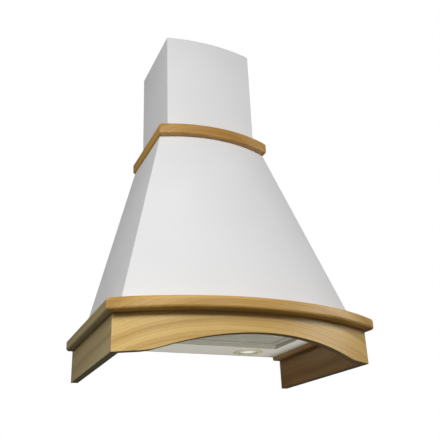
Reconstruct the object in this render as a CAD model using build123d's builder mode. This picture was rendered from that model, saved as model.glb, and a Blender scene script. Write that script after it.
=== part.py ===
from build123d import *

import os
from math import cos, radians, sin, sqrt

# A wall-hung chimney hood: a white steel dome and chimney over a bowed oak surround.
# Millimetres. +X is to the right seen from the front, +Y goes into the wall and +Z is up.
# The back lies on the wall plane y = 0, and the origin is midway between the two
# hanging holes. Heights are counted up from the lower edge of the oak boards.

os.makedirs("parts", exist_ok=True)

# Oak surround
surround_width = 600.0
surround_corner_depth = 374.0
surround_bow = 82.0
board_height = 72.0
board_thickness = 16.0
rail_thickness = 26.0
rail_width = 51.0
rail_side_overhang = 15.0
rail_front_overhang = 20.0
rail_edge_radius = 7.0
rail_inner_radius = 4.0
ledge_thickness = 9.0
oak_corner_radius = 3.0
arch_rise = 34.0
arch_radius = 740.0
arch_ease_radius = 120.0
glue_block_leg = 34.0
glue_block_height = 46.0
dowel_radius = 4.0
dowel_length = 28.0
dowel_inset_from_wall = 60.0
dowel_angle = 12.0
side_screw_inset = 70.0
front_screw_angle = 14.0

# Steel dome
sheet = 1.0
fold_radius = 2.0
hanging_height = 440.0
hanging_spacing = 240.0
hanging_hole_radius = 4.0
lower_fixing_height = 150.0
lower_fixing_spacing = 300.0
lower_fixing_radius = 3.0
skirt_side_inset = 34.6
skirt_front_inset = 43.0
dome_top_height = 566.0
neck_width = 283.8
neck_corner_depth = 213.1
neck_bow = 32.8
dome_flange = 15.0
top_plate_flange = 12.0

# Oak collar and steel chimney
collar_height = 30.0
collar_side_overhang = 5.3
collar_front_overhang = 13.9
collar_bow = 31.4
collar_edge_radius = 6.0
collar_screw_depth = 120.0
chimney_width = 240.0
chimney_corner_depth = 208.0
chimney_bow = 14.2
chimney_flange = 12.0
hood_height = 882.0
chimney_gap = 1.2
bracket_sheet = 2.0
bracket_height = 25.0
bracket_below_top = 8.0
bracket_wall_width = 190.0
bracket_step = 7.0
bracket_ear = 26.0
bracket_hole_spacing = 160.0
bracket_hole_radius = 3.0

# Base pan and what it carries
pan_rim_height = 15.0
opening_width = 409.0
opening_rear = 99.0
opening_depth = 221.0
return_height = 14.0
filter_recess = 9.0
filter_thickness = 9.0
filter_gap = 1.0
filter_rim = 16.0
mesh_groove = 4.0
mesh_thickness = 5.6
filter_lip = 1.5
tab_width = 22.0
tab_spacing = 300.0
tab_reach = 10.0
tab_thickness = 2.0

# Filter latch
latch_width = 24.0
latch_thickness = 2.0
latch_reach = 5.0
latch_travel = 6.0
latch_length = 28.0
latch_block_width = 40.0
latch_block_wall = 4.0
latch_window_width = 20.0
latch_window_length = 16.0
latch_window_inset = 11.0
latch_grip_thickness = 4.0
spring_leaf = 0.4
spring_chord = 20.0
spring_pressed = 1.0

# Lamps
lamp_spacing = 303.0
lamp_rear = 48.0
bezel_radius = 38.0
bezel_mouth_radius = 23.5
bezel_face_radius = 27.0
bezel_thickness = 2.5
bezel_edge = 0.8
lamp_hole_radius = 33.0
lamp_sleeve_height = 14.0
bulb_radius = 25.0
bulb_height = 38.0
bulb_rim_height = 5.0
bulb_neck_radius = 8.0
bulb_cap_height = 7.0
holder_radius = 35.0
holder_height = 58.0
socket_radius = 12.0

# Controls under the front strip
control_centre = 120.0
control_front = 345.0
control_plate_length = 112.0
control_plate_width = 30.0
control_plate_thickness = 2.0
control_body_length = 100.0
control_body_width = 20.0
control_body_height = 20.0
control_body_lap = 3.0
slot_width = 4.6
slot_channel = 4.0
stem_width = 4.0
stem_length = 3.0
knob_length = 9.0
knob_width = 12.0
knob_height = 4.5
knob_edge = 1.1
groove_width = 1.0
groove_length = 7.0
groove_pitch = 2.2
speed_travel = 24.0
lamp_travel = 8.0
speed_slot_start = -40.0
lamp_slot_start = 22.0

# Blower: a scroll of three quarter arcs on a small square, round a drum wheel
blower_width = 120.0
blower_wall = 2.5
scroll_step = 11.0
wheel_clearance = 16.5
duct_depth = 92.0
duct_rise = 180.0
tongue_radius = 8.0
joint_flange = 5.0
joint_flange_thickness = 2.0
inlet_step = 18.0
inlet_lip = 4.0
lug_reach = 14.0
lug_width = 18.0
lug_thickness = 4.0
lug_spacing = 60.0
wheel_radius = 74.0
wheel_length = 100.0
blade_count = 28
blade_depth = 13.0
blade_sweep = 7.5
blade_mid_sweep = 2.2
blade_thickness_angle = 1.1
wheel_ring = 3.0
wheel_disc = 2.0
hub_radius = 11.0
hub_length = 20.0
shaft_radius = 4.0
motor_radius = 42.0
motor_stack_start = -90.0
motor_stack_length = 38.0
motor_bell_radius = 37.0
motor_bell_length = 16.0
motor_boss_radius = 10.0
motor_boss_length = 6.0
motor_vent_circle = 24.0
motor_vent_count = 8
motor_vent_length = 13.0
motor_vent_width = 4.0
motor_vent_depth = 6.0
bracket_ring_width = 9.0
bracket_arm_width = 13.0
bracket_arm_thickness = 4.0
motor_clamp_thickness = 4.0
motor_clamp_length = 22.0

# Outlet spigot with its two damper flaps
duct_centre = 105.0
spigot_radius = 59.5
spigot_wall = 2.5
spigot_height = 52.0
spigot_flange_width = 156.0
spigot_flange_depth = 128.0
spigot_flange_thickness = 3.0
spigot_flange_corner = 9.0
spigot_foot_radius = 63.0
spigot_foot_thickness = 2.0
flap_height = 15.0
flap_thickness = 1.5
flap_edge_gap = 1.2
flap_seat_gap = 0.3
flap_seat_width = 3.5
flap_seat_thickness = 2.0
pin_radius = 1.5
knuckle_radius = 3.0
knuckle_length = 24.0
knuckle_gap = 0.4

# Electrical pieces and fasteners
terminal_box_size = (72.0, 34.0, 84.0)
terminal_box_centre = 128.0
terminal_box_height = 300.0
terminal_lid_thickness = 3.0
terminal_lid_overlap = 1.5
capacitor_radius = 15.0
capacitor_length = 48.0
capacitor_centre = -125.0
clip_thickness = 1.5
clip_height = 14.0
gland_x = 95.0
gland_y = 26.0
gland_hole_radius = 7.0
gland_radius = 9.5
gland_bore_radius = 4.0
gland_height = 9.0
wood_screw_radius = 2.0
wood_screw_length = 20.0
machine_screw_radius = 2.0
screw_head_radius = 4.0
screw_head_height = 2.2

# Clearances
fit = 0.3
seat_gap = 0.5
running_fit = 0.05
through_hole_gap = 0.2

# Levels
board_bottom = -hanging_height
rail_bottom = board_bottom + board_height
rail_top = rail_bottom + rail_thickness
pan_bottom = rail_bottom + ledge_thickness
pan_floor = pan_bottom + sheet
dome_top = board_bottom + dome_top_height
hood_top = board_bottom + hood_height

# The rail's front is one arc; every bowed line of the surround is concentric with it
rail_half = surround_width / 2
front_radius = (rail_half**2 + surround_bow**2) / (2 * surround_bow)
front_centre = front_radius - surround_corner_depth - surround_bow


def inset_bow(side_inset, front_inset):
    """Half width, corner depth and bow of an outline set in from the rail's outer edge."""
    half_width = rail_half - side_inset
    radius = front_radius - front_inset
    corner_depth = sqrt(radius**2 - half_width**2) - front_centre
    return half_width, corner_depth, radius - front_centre - corner_depth


def shrink_bow(outline, amount):
    """The same bowed outline with its sides and front moved in by one amount."""
    half_width, corner_depth, bow = outline
    return half_width - amount, corner_depth - amount, bow


def bowed_outline(outline, back=0.0):
    """Closed plan outline: straight back and sides, and a front that bows forward."""
    half_width, corner_depth, bow = outline
    with BuildLine() as edges:
        Polyline(
            (-half_width, -corner_depth),
            (-half_width, -back),
            (half_width, -back),
            (half_width, -corner_depth),
        )
        ThreePointArc(
            (half_width, -corner_depth),
            (0, -corner_depth - bow),
            (-half_width, -corner_depth),
        )
    return edges.edges()


def folded_outline(outline, back, radius):
    """Plan of a folded sheet: a bowed outline with its front corners rounded by the fold."""
    with BuildSketch() as plan:
        make_face(bowed_outline(outline, back))
        fillet(plan.vertices().group_by(Axis.Y)[0], radius=radius)
    return plan.sketch


def mitre_plane(outer, inner):
    """Upright plane through an outer and an inner left corner, facing the side piece."""
    start = Vector(-outer[0], -outer[1])
    along = Vector(-inner[0], -inner[1]) - start
    return Plane(origin=start, x_dir=along, z_dir=along.rotate(Axis.Z, 90))


def mirrored(plane):
    """The same plane on the other side of the hood, facing the right side piece."""
    origin, normal = plane.origin, plane.z_dir
    return Plane(
        origin=(-origin.X, origin.Y, origin.Z),
        x_dir=(0, 0, 1),
        z_dir=(-normal.X, normal.Y, normal.Z),
    )


def polar(radius, angle):
    """Point at a radius and an angle in degrees."""
    return radius * cos(radians(angle)), radius * sin(radians(angle))


rail_outline = (rail_half, surround_corner_depth, surround_bow)
rail_inner = inset_bow(rail_width, rail_width)
board_outline = inset_bow(rail_side_overhang, rail_front_overhang)
board_inner = inset_bow(
    rail_side_overhang + board_thickness, rail_front_overhang + board_thickness
)
skirt_outline = inset_bow(skirt_side_inset, skirt_front_inset)
skirt_inner = inset_bow(skirt_side_inset + sheet, skirt_front_inset + sheet)
skirt_seat = inset_bow(skirt_side_inset - seat_gap, skirt_front_inset - seat_gap)
pan_inset = sheet + fit
pan_outline = inset_bow(skirt_side_inset + pan_inset, skirt_front_inset + pan_inset)
pan_inner = inset_bow(
    skirt_side_inset + pan_inset + sheet, skirt_front_inset + pan_inset + sheet
)
neck_outline = (neck_width / 2, neck_corner_depth, neck_bow)
collar_outline = (
    neck_width / 2 + collar_side_overhang,
    neck_corner_depth + collar_front_overhang,
    collar_bow,
)
chimney_outline = (chimney_width / 2, chimney_corner_depth, chimney_bow)
collar_inner = shrink_bow(chimney_outline, -seat_gap)
panel_back = sheet
pan_back = 2 * sheet + fit

# Places of the wood screws that hold the steel skirt in the oak rail, pointing outwards
side_screw_depths = (side_screw_inset, surround_corner_depth - side_screw_inset)
screw_level = (pan_floor + pan_bottom + pan_rim_height) / 2
screw_seat_side = pan_inner[0]
screw_seat_front = front_radius - skirt_front_inset - pan_inset - sheet - running_fit
surround_screw_planes = [
    Plane(origin=(side * screw_seat_side, -depth, screw_level), z_dir=(side, 0, 0))
    for side in (-1, 1)
    for depth in side_screw_depths
] + [
    Plane(
        origin=(
            screw_seat_front * sin(radians(angle)),
            front_centre - screw_seat_front * cos(radians(angle)),
            screw_level,
        ),
        z_dir=(sin(radians(angle)), -cos(radians(angle)), 0),
    )
    for angle in (-front_screw_angle, front_screw_angle)
]

# Places of the dowels between boards and rail
dowel_radius_line = front_radius - rail_front_overhang - board_thickness / 2
dowel_side = rail_half - rail_side_overhang - board_thickness / 2
dowel_side_depths = (dowel_inset_from_wall, surround_corner_depth - dowel_inset_from_wall)
dowel_points = [(side * dowel_side, -depth) for side in (-1, 1) for depth in dowel_side_depths] + [
    (
        dowel_radius_line * sin(radians(angle)),
        front_centre - dowel_radius_line * cos(radians(angle)),
    )
    for angle in (-dowel_angle, dowel_angle)
]

# ---------------------------------------------------------------------------
# Oak surround: a thick mitred rail over thinner mitred boards with an arched front
# ---------------------------------------------------------------------------


def oak_block(outline, bottom, height):
    """Solid oak blank with eased front corners, cut into a frame afterwards."""
    with BuildPart() as blank:
        with BuildSketch(Plane.XY.offset(bottom)):
            make_face(bowed_outline(outline))
        extrude(amount=height)
        fillet(blank.edges().filter_by(Axis.Z).sort_by(Axis.Y)[:2], radius=oak_corner_radius)
    return blank.part


with BuildPart() as rail_frame:
    add(oak_block(rail_outline, rail_bottom, rail_thickness))
    lower_edges = rail_frame.edges().group_by(Axis.Z)[0].sort_by(Axis.Y)[:-1]
    upper_edges = rail_frame.edges().group_by(Axis.Z)[-1].sort_by(Axis.Y)[:-1]
    fillet(lower_edges + upper_edges, radius=rail_edge_radius)
    with BuildSketch(Plane.XY.offset(rail_bottom)):
        make_face(bowed_outline(rail_inner, back=-sheet))
    extrude(amount=rail_thickness, mode=Mode.SUBTRACT)
    with BuildSketch(Plane.XY.offset(pan_bottom)):
        make_face(bowed_outline(skirt_seat, back=-sheet))
    extrude(amount=rail_thickness, mode=Mode.SUBTRACT)
    with BuildSketch(*surround_screw_planes):
        Circle(wood_screw_radius + running_fit)
    extrude(amount=wood_screw_length + fit, mode=Mode.SUBTRACT)
    with BuildSketch(Plane.XY.offset(rail_bottom)):
        with Locations(*dowel_points):
            Circle(dowel_radius)
    extrude(amount=dowel_length / 2 + fit, mode=Mode.SUBTRACT)

with BuildPart() as board_frame:
    add(oak_block(board_outline, board_bottom, board_height))
    with BuildSketch(Plane.XY.offset(board_bottom)):
        make_face(bowed_outline(board_inner, back=-sheet))
    extrude(amount=board_height, mode=Mode.SUBTRACT)
    with BuildSketch(Plane.XY.offset(rail_bottom)):
        with Locations(*dowel_points):
            Circle(dowel_radius)
    extrude(amount=-dowel_length / 2 - fit, mode=Mode.SUBTRACT)

rail_mitre = mitre_plane(rail_outline, rail_inner)
board_mitre = mitre_plane(board_outline, board_inner)

with BuildPart() as rail_front:
    add(rail_frame.part)
    split(bisect_by=rail_mitre, keep=Keep.BOTTOM)
    split(bisect_by=mirrored(rail_mitre), keep=Keep.BOTTOM)
    lower_arcs = rail_front.edges().filter_by(GeomType.CIRCLE).group_by(Axis.Z)[0]
    fillet(lower_arcs.sort_by(Axis.Y)[-1], radius=rail_inner_radius)
rail_front.part.label = "rail_front"
export_step(rail_front.part, "parts/rail_front.step")

with BuildPart() as rail_left:
    add(rail_frame.part)
    split(bisect_by=Plane.YZ, keep=Keep.BOTTOM)
    split(bisect_by=rail_mitre, keep=Keep.TOP)
    lower_lines = rail_left.edges().filter_by(Axis.Y).group_by(Axis.Z)[0]
    fillet(lower_lines.sort_by(Axis.X)[-1], radius=rail_inner_radius)
rail_left.part.label = "rail_left"
export_step(rail_left.part, "parts/rail_left.step")

with BuildPart() as rail_right:
    add(rail_frame.part)
    split(bisect_by=Plane.YZ, keep=Keep.TOP)
    split(bisect_by=mirrored(rail_mitre), keep=Keep.TOP)
    lower_lines = rail_right.edges().filter_by(Axis.Y).group_by(Axis.Z)[0]
    fillet(lower_lines.sort_by(Axis.X)[0], radius=rail_inner_radius)
rail_right.part.label = "rail_right"
export_step(rail_right.part, "parts/rail_right.step")

# The arch is one long arc eased into flat feet by a small reversed arc at each end
arch_centre = arch_rise - arch_radius
arch_half_span = sqrt(
    (arch_radius + arch_ease_radius) ** 2 - (arch_ease_radius - arch_centre) ** 2
)
ease_share = arch_radius / (arch_radius + arch_ease_radius)
arch_turn = (
    arch_half_span * ease_share,
    arch_centre + (arch_ease_radius - arch_centre) * ease_share,
)

with BuildPart() as valance_front:
    add(board_frame.part)
    split(bisect_by=board_mitre, keep=Keep.BOTTOM)
    split(bisect_by=mirrored(board_mitre), keep=Keep.BOTTOM)
    with BuildSketch(Plane.XZ.shift_origin((0, 0, board_bottom))):
        with BuildLine():
            TangentArc((-arch_half_span, 0), (-arch_turn[0], arch_turn[1]), tangent=(1, 0))
            ThreePointArc((-arch_turn[0], arch_turn[1]), (0, arch_rise), arch_turn)
            TangentArc((arch_half_span, 0), arch_turn, tangent=(-1, 0))
            Line((arch_half_span, 0), (-arch_half_span, 0))
        make_face()
    extrude(amount=surround_corner_depth + surround_bow, mode=Mode.SUBTRACT)
valance_front.part.label = "valance_front"
export_step(valance_front.part, "parts/valance_front.step")

with BuildPart() as side_board_left:
    add(board_frame.part)
    split(bisect_by=Plane.YZ, keep=Keep.BOTTOM)
    split(bisect_by=board_mitre, keep=Keep.TOP)
side_board_left.part.label = "side_board_left"
export_step(side_board_left.part, "parts/side_board_left.step")

with BuildPart() as side_board_right:
    add(board_frame.part)
    split(bisect_by=Plane.YZ, keep=Keep.TOP)
    split(bisect_by=mirrored(board_mitre), keep=Keep.TOP)
side_board_right.part.label = "side_board_right"
export_step(side_board_right.part, "parts/side_board_right.step")

block_outline = inset_bow(
    rail_side_overhang + board_thickness + fit, rail_front_overhang + board_thickness + fit
)
with BuildPart() as glue_blocks:
    with BuildSketch(Plane.XY.offset(rail_bottom)):
        with BuildLine():
            Polyline(
                (block_outline[0], -block_outline[1] + glue_block_leg),
                (block_outline[0], -block_outline[1] - glue_block_leg),
                (block_outline[0] - glue_block_leg, -block_outline[1] - glue_block_leg),
                close=True,
            )
        make_face()
        make_face(bowed_outline(block_outline), mode=Mode.INTERSECT)
    extrude(amount=-glue_block_height)
    mirror(about=Plane.YZ)
glue_blocks.part.label = "glue_blocks"
export_step(glue_blocks.part, "parts/glue_blocks.step")

with BuildPart() as surround_dowels:
    with BuildSketch(Plane.XY.offset(rail_bottom - dowel_length / 2)):
        with Locations(*dowel_points):
            Circle(dowel_radius)
    extrude(amount=dowel_length)
surround_dowels.part.label = "surround_dowels"
export_step(surround_dowels.part, "parts/surround_dowels.step")

with BuildPart() as surround_screws:
    with BuildSketch(*surround_screw_planes):
        Circle(wood_screw_radius)
    extrude(amount=wood_screw_length)
    with BuildSketch(*surround_screw_planes):
        RegularPolygon(screw_head_radius, 6)
    extrude(amount=-screw_head_height)
surround_screws.part.label = "surround_screws"
export_step(surround_screws.part, "parts/surround_screws.step")

# ---------------------------------------------------------------------------
# Oak collar: three bars round the foot of the chimney
# ---------------------------------------------------------------------------

collar_mitre = mitre_plane(collar_outline, collar_inner)
collar_screw_side = (neck_width / 2 + chimney_width / 2) / 2
collar_screw_front = neck_corner_depth + neck_bow - screw_head_radius * 2
collar_screw_points = [
    (-collar_screw_side, -collar_screw_depth),
    (collar_screw_side, -collar_screw_depth),
    (0, -collar_screw_front),
]

with BuildPart() as collar_frame:
    add(oak_block(collar_outline, dome_top, collar_height))
    lower_edges = collar_frame.edges().group_by(Axis.Z)[0].sort_by(Axis.Y)[:-1]
    upper_edges = collar_frame.edges().group_by(Axis.Z)[-1].sort_by(Axis.Y)[:-1]
    fillet(lower_edges + upper_edges, radius=collar_edge_radius)
    with BuildSketch(Plane.XY.offset(dome_top)):
        make_face(bowed_outline(collar_inner, back=-sheet))
    extrude(amount=collar_height, mode=Mode.SUBTRACT)
    with BuildSketch(Plane.XY.offset(dome_top)):
        with Locations(*collar_screw_points):
            Circle(wood_screw_radius)
    extrude(amount=wood_screw_length + fit, mode=Mode.SUBTRACT)

with BuildPart() as collar_front:
    add(collar_frame.part)
    split(bisect_by=collar_mitre, keep=Keep.BOTTOM)
    split(bisect_by=mirrored(collar_mitre), keep=Keep.BOTTOM)
collar_front.part.label = "collar_front"
export_step(collar_front.part, "parts/collar_front.step")

with BuildPart() as collar_left:
    add(collar_frame.part)
    split(bisect_by=Plane.YZ, keep=Keep.BOTTOM)
    split(bisect_by=collar_mitre, keep=Keep.TOP)
collar_left.part.label = "collar_left"
export_step(collar_left.part, "parts/collar_left.step")

with BuildPart() as collar_right:
    add(collar_frame.part)
    split(bisect_by=Plane.YZ, keep=Keep.TOP)
    split(bisect_by=mirrored(collar_mitre), keep=Keep.TOP)
collar_right.part.label = "collar_right"
export_step(collar_right.part, "parts/collar_right.step")

with BuildPart() as collar_screws:
    with BuildSketch(Plane.XY.offset(dome_top - sheet)):
        with Locations(*collar_screw_points):
            Circle(wood_screw_radius)
    extrude(amount=wood_screw_length)
    with BuildSketch(Plane.XY.offset(dome_top - sheet)):
        with Locations(*collar_screw_points):
            RegularPolygon(screw_head_radius, 6)
    extrude(amount=-screw_head_height)
collar_screws.part.label = "collar_screws"
export_step(collar_screws.part, "parts/collar_screws.step")

# ---------------------------------------------------------------------------
# Steel dome: a folded canopy with a straight skirt, its back panel and its top plate
# ---------------------------------------------------------------------------

with BuildPart() as dome_shell:
    with BuildSketch(Plane.XY.offset(pan_bottom)):
        add(folded_outline(skirt_outline, panel_back, fold_radius))
        add(folded_outline(skirt_inner, 2 * sheet, fold_radius - sheet), mode=Mode.SUBTRACT)
    extrude(amount=rail_top - pan_bottom)
    with BuildSketch(Plane.XY.offset(rail_top)):
        add(folded_outline(skirt_outline, panel_back, fold_radius))
    with BuildSketch(Plane.XY.offset(dome_top)):
        add(folded_outline(neck_outline, panel_back, fold_radius))
    loft(ruled=True)
    with BuildSketch(Plane.XY.offset(rail_top)):
        add(folded_outline(skirt_inner, 2 * sheet, fold_radius - sheet))
    with BuildSketch(Plane.XY.offset(dome_top)):
        add(folded_outline(shrink_bow(neck_outline, sheet), 2 * sheet, fold_radius - sheet))
    loft(ruled=True, mode=Mode.SUBTRACT)
    with BuildSketch(Plane.XZ):
        with BuildLine():
            Polyline(
                (-skirt_outline[0] + dome_flange, pan_bottom),
                (-skirt_outline[0] + dome_flange, rail_top),
                (-neck_outline[0] + dome_flange, dome_top),
                (neck_outline[0] - dome_flange, dome_top),
                (skirt_outline[0] - dome_flange, rail_top),
                (skirt_outline[0] - dome_flange, pan_bottom),
                close=True,
            )
        make_face()
    extrude(amount=3 * sheet, mode=Mode.SUBTRACT)
    with BuildSketch(*surround_screw_planes):
        Circle(wood_screw_radius + through_hole_gap)
    extrude(amount=wood_screw_length, mode=Mode.SUBTRACT)
dome_shell.part.label = "dome_shell"
export_step(dome_shell.part, "parts/dome_shell.step")

with BuildPart() as back_panel:
    with BuildSketch(Plane.XZ):
        with BuildLine():
            Polyline(
                (-skirt_outline[0], pan_bottom),
                (-skirt_outline[0], rail_top),
                (-neck_outline[0], dome_top),
                (neck_outline[0], dome_top),
                (skirt_outline[0], rail_top),
                (skirt_outline[0], pan_bottom),
                close=True,
            )
        make_face()
        with GridLocations(hanging_spacing, 1, 2, 1):
            Circle(hanging_hole_radius, mode=Mode.SUBTRACT)
        with Locations((0, board_bottom + lower_fixing_height)):
            with GridLocations(lower_fixing_spacing, 1, 2, 1):
                Circle(lower_fixing_radius, mode=Mode.SUBTRACT)
    extrude(amount=panel_back)
back_panel.part.label = "back_panel"
export_step(back_panel.part, "parts/back_panel.step")

blower_screw_points = GridLocations(blower_width + lug_reach, lug_spacing, 2, 2).local_locations
spigot_plane = Plane(origin=(0, -duct_centre, dome_top))

with BuildPart() as top_plate:
    with BuildSketch(Plane.XY.offset(dome_top)):
        make_face(bowed_outline(shrink_bow(neck_outline, sheet + fit), back=pan_back))
    extrude(amount=-top_plate_flange)
    with BuildSketch(Plane.XY.offset(dome_top - sheet)):
        make_face(
            bowed_outline(shrink_bow(neck_outline, 2 * sheet + fit), back=pan_back + sheet)
        )
    extrude(amount=-top_plate_flange, mode=Mode.SUBTRACT)
    with BuildSketch(spigot_plane):
        Circle(spigot_radius - spigot_wall)
        with Locations(*blower_screw_points):
            Circle(machine_screw_radius + through_hole_gap)
    extrude(amount=-sheet, mode=Mode.SUBTRACT)
    with BuildSketch(Plane.XY.offset(dome_top)):
        with Locations(*collar_screw_points):
            Circle(wood_screw_radius + through_hole_gap)
        with Locations((gland_x, -gland_y)):
            Circle(gland_hole_radius)
    extrude(amount=-sheet, mode=Mode.SUBTRACT)
top_plate.part.label = "top_plate"
export_step(top_plate.part, "parts/top_plate.step")

# ---------------------------------------------------------------------------
# Chimney: a fixed lower sleeve, a sliding upper sleeve and the upper wall bracket
# ---------------------------------------------------------------------------


def chimney_sleeve(outline, bottom, top, back):
    """Folded sleeve, open at the back between two in-turned flanges."""
    with BuildPart() as sleeve:
        with BuildSketch(Plane.XY.offset(bottom)):
            add(folded_outline(outline, back, fold_radius))
            inside = shrink_bow(outline, sheet)
            add(folded_outline(inside, back + sheet, fold_radius - sheet), mode=Mode.SUBTRACT)
            with Locations((0, -back - sheet / 2)):
                Rectangle(2 * (outline[0] - chimney_flange), 2 * sheet, mode=Mode.SUBTRACT)
        extrude(amount=top - bottom)
    return sleeve.part


upper_outline = shrink_bow(chimney_outline, sheet + chimney_gap)
upper_back = 2 * sheet + chimney_gap

with BuildPart() as chimney_lower:
    add(chimney_sleeve(chimney_outline, dome_top, hood_top, sheet))
chimney_lower.part.label = "chimney_lower"
export_step(chimney_lower.part, "parts/chimney_lower.step")

with BuildPart() as chimney_upper:
    add(chimney_sleeve(upper_outline, dome_top + fit, hood_top - sheet, upper_back))
chimney_upper.part.label = "chimney_upper"
export_step(chimney_upper.part, "parts/chimney_upper.step")

bracket_top = hood_top - sheet - bracket_below_top
ear_outer = upper_outline[0] - sheet - fit
with BuildPart() as chimney_bracket:
    with BuildSketch(Plane.XY.offset(bracket_top)):
        with BuildLine() as bracket_line:
            Polyline(
                (-ear_outer, -bracket_step - bracket_ear),
                (-ear_outer, -bracket_step),
                (-bracket_wall_width / 2 - bracket_step, -bracket_step),
                (-bracket_wall_width / 2, 0),
                (bracket_wall_width / 2, 0),
                (bracket_wall_width / 2 + bracket_step, -bracket_step),
                (ear_outer, -bracket_step),
                (ear_outer, -bracket_step - bracket_ear),
            )
            offset(amount=-bracket_sheet, side=Side.RIGHT)
        make_face()
    extrude(amount=-bracket_height)
    with BuildSketch(Plane.XZ.shift_origin((0, 0, bracket_top - bracket_height / 2))):
        with GridLocations(bracket_hole_spacing, 1, 2, 1):
            Circle(bracket_hole_radius)
    extrude(amount=2 * bracket_sheet, mode=Mode.SUBTRACT)
chimney_bracket.part.label = "chimney_bracket"
export_step(chimney_bracket.part, "parts/chimney_bracket.step")

# ---------------------------------------------------------------------------
# Base pan: a shallow tray with the filter opening, lamp holes and control slot
# ---------------------------------------------------------------------------

opening_centre = -opening_rear - opening_depth / 2
control_plane = Plane(origin=(control_centre, -control_front, pan_bottom))
lamp_points = [(side * lamp_spacing / 2, -lamp_rear) for side in (-1, 1)]

with BuildPart() as base_pan:
    with BuildSketch(Plane.XY.offset(pan_bottom)):
        make_face(bowed_outline(pan_outline, back=pan_back))
    extrude(amount=pan_rim_height)
    with BuildSketch(Plane.XY.offset(pan_floor)):
        make_face(bowed_outline(pan_inner, back=pan_back + sheet))
    extrude(amount=pan_rim_height, mode=Mode.SUBTRACT)
    with BuildSketch(Plane.XY.offset(pan_bottom)):
        with Locations((0, opening_centre)):
            Rectangle(opening_width + 2 * sheet, opening_depth + 2 * sheet)
    extrude(amount=return_height)
    with BuildSketch(Plane.XY.offset(pan_bottom)):
        with Locations((0, opening_centre)):
            Rectangle(opening_width, opening_depth)
    extrude(amount=return_height, mode=Mode.SUBTRACT)
    with BuildSketch(Plane.XY.offset(pan_bottom)):
        with Locations(*lamp_points):
            Circle(lamp_hole_radius)
    extrude(amount=sheet, mode=Mode.SUBTRACT)
    with BuildSketch(control_plane):
        Rectangle(
            control_body_length - 2 * control_body_lap, control_body_width - 2 * control_body_lap
        )
    extrude(amount=sheet, mode=Mode.SUBTRACT)
    with BuildSketch(*surround_screw_planes):
        Circle(wood_screw_radius + through_hole_gap)
    extrude(amount=wood_screw_length, mode=Mode.SUBTRACT)
base_pan.part.label = "base_pan"
export_step(base_pan.part, "parts/base_pan.step")

# ---------------------------------------------------------------------------
# Grease filter: a grooved frame round a mesh pack, hung on two rear tabs and latched
# ---------------------------------------------------------------------------

filter_bottom = pan_bottom + filter_recess
filter_width = opening_width - 2 * filter_gap
filter_depth = opening_depth - 2 * filter_gap
filter_rear = -opening_rear - filter_gap
filter_front = filter_rear - filter_depth
tab_bottom = pan_bottom + return_height + fit
latch_floor = tab_bottom - through_hole_gap
latch_ceiling = latch_floor + latch_thickness + 2 * through_hole_gap
latch_front = filter_front - latch_reach
latch_rear = latch_front + latch_length
latch_slot_rear = latch_rear + latch_travel + spring_pressed
latch_block_depth = latch_slot_rear + latch_block_wall - filter_front
window_front = filter_front + latch_window_inset

with BuildPart() as filter_frame:
    with BuildSketch(Plane.XY.offset(filter_bottom)):
        with Locations((0, opening_centre)):
            Rectangle(filter_width, filter_depth)
            Rectangle(filter_width - 2 * filter_rim, filter_depth - 2 * filter_rim, mode=Mode.SUBTRACT)
        with Locations((0, filter_front + latch_block_depth / 2)):
            Rectangle(latch_block_width, latch_block_depth)
    extrude(amount=filter_thickness)
    with BuildSketch(Plane.XY.offset(filter_bottom + filter_lip)):
        with Locations((0, opening_centre)):
            Rectangle(
                filter_width - 2 * filter_rim + 2 * mesh_groove,
                filter_depth - 2 * filter_rim + 2 * mesh_groove,
            )
        with Locations((0, filter_front + latch_block_depth / 2)):
            Rectangle(latch_block_width, latch_block_depth, mode=Mode.SUBTRACT)
    extrude(amount=filter_thickness - 2 * filter_lip, mode=Mode.SUBTRACT)
    with BuildSketch(Plane.XY.offset(tab_bottom)):
        with Locations((0, filter_rear + tab_reach / 2 - sheet)):
            with GridLocations(tab_spacing, 1, 2, 1):
                Rectangle(tab_width, tab_reach + 2 * sheet)
    extrude(amount=tab_thickness)
    with BuildSketch(Plane.XY.offset(latch_floor)):
        with Locations((0, (filter_front + latch_slot_rear) / 2)):
            Rectangle(latch_width + 2 * fit, latch_slot_rear - filter_front)
    extrude(amount=latch_ceiling - latch_floor, mode=Mode.SUBTRACT)
    with BuildSketch(Plane.XY.offset(filter_bottom)):
        with Locations((0, window_front + latch_window_length / 2)):
            Rectangle(latch_window_width, latch_window_length)
    extrude(amount=latch_floor - filter_bottom, mode=Mode.SUBTRACT)
filter_frame.part.label = "filter_frame"
export_step(filter_frame.part, "parts/filter_frame.step")

with BuildPart() as filter_mesh:
    with BuildSketch(Plane.XY.offset(filter_bottom + (filter_thickness - mesh_thickness) / 2)):
        with Locations((0, opening_centre)):
            Rectangle(
                filter_width - 2 * filter_rim + 2 * mesh_groove - 2 * fit,
                filter_depth - 2 * filter_rim + 2 * mesh_groove - 2 * fit,
            )
        with Locations((0, filter_front + latch_block_depth / 2)):
            Rectangle(latch_block_width + 2 * fit, latch_block_depth + 2 * fit, mode=Mode.SUBTRACT)
    extrude(amount=mesh_thickness)
filter_mesh.part.label = "filter_mesh"
export_step(filter_mesh.part, "parts/filter_mesh.step")

latch_bottom = latch_floor + through_hole_gap
grip_front = window_front + 2 * fit

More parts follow.
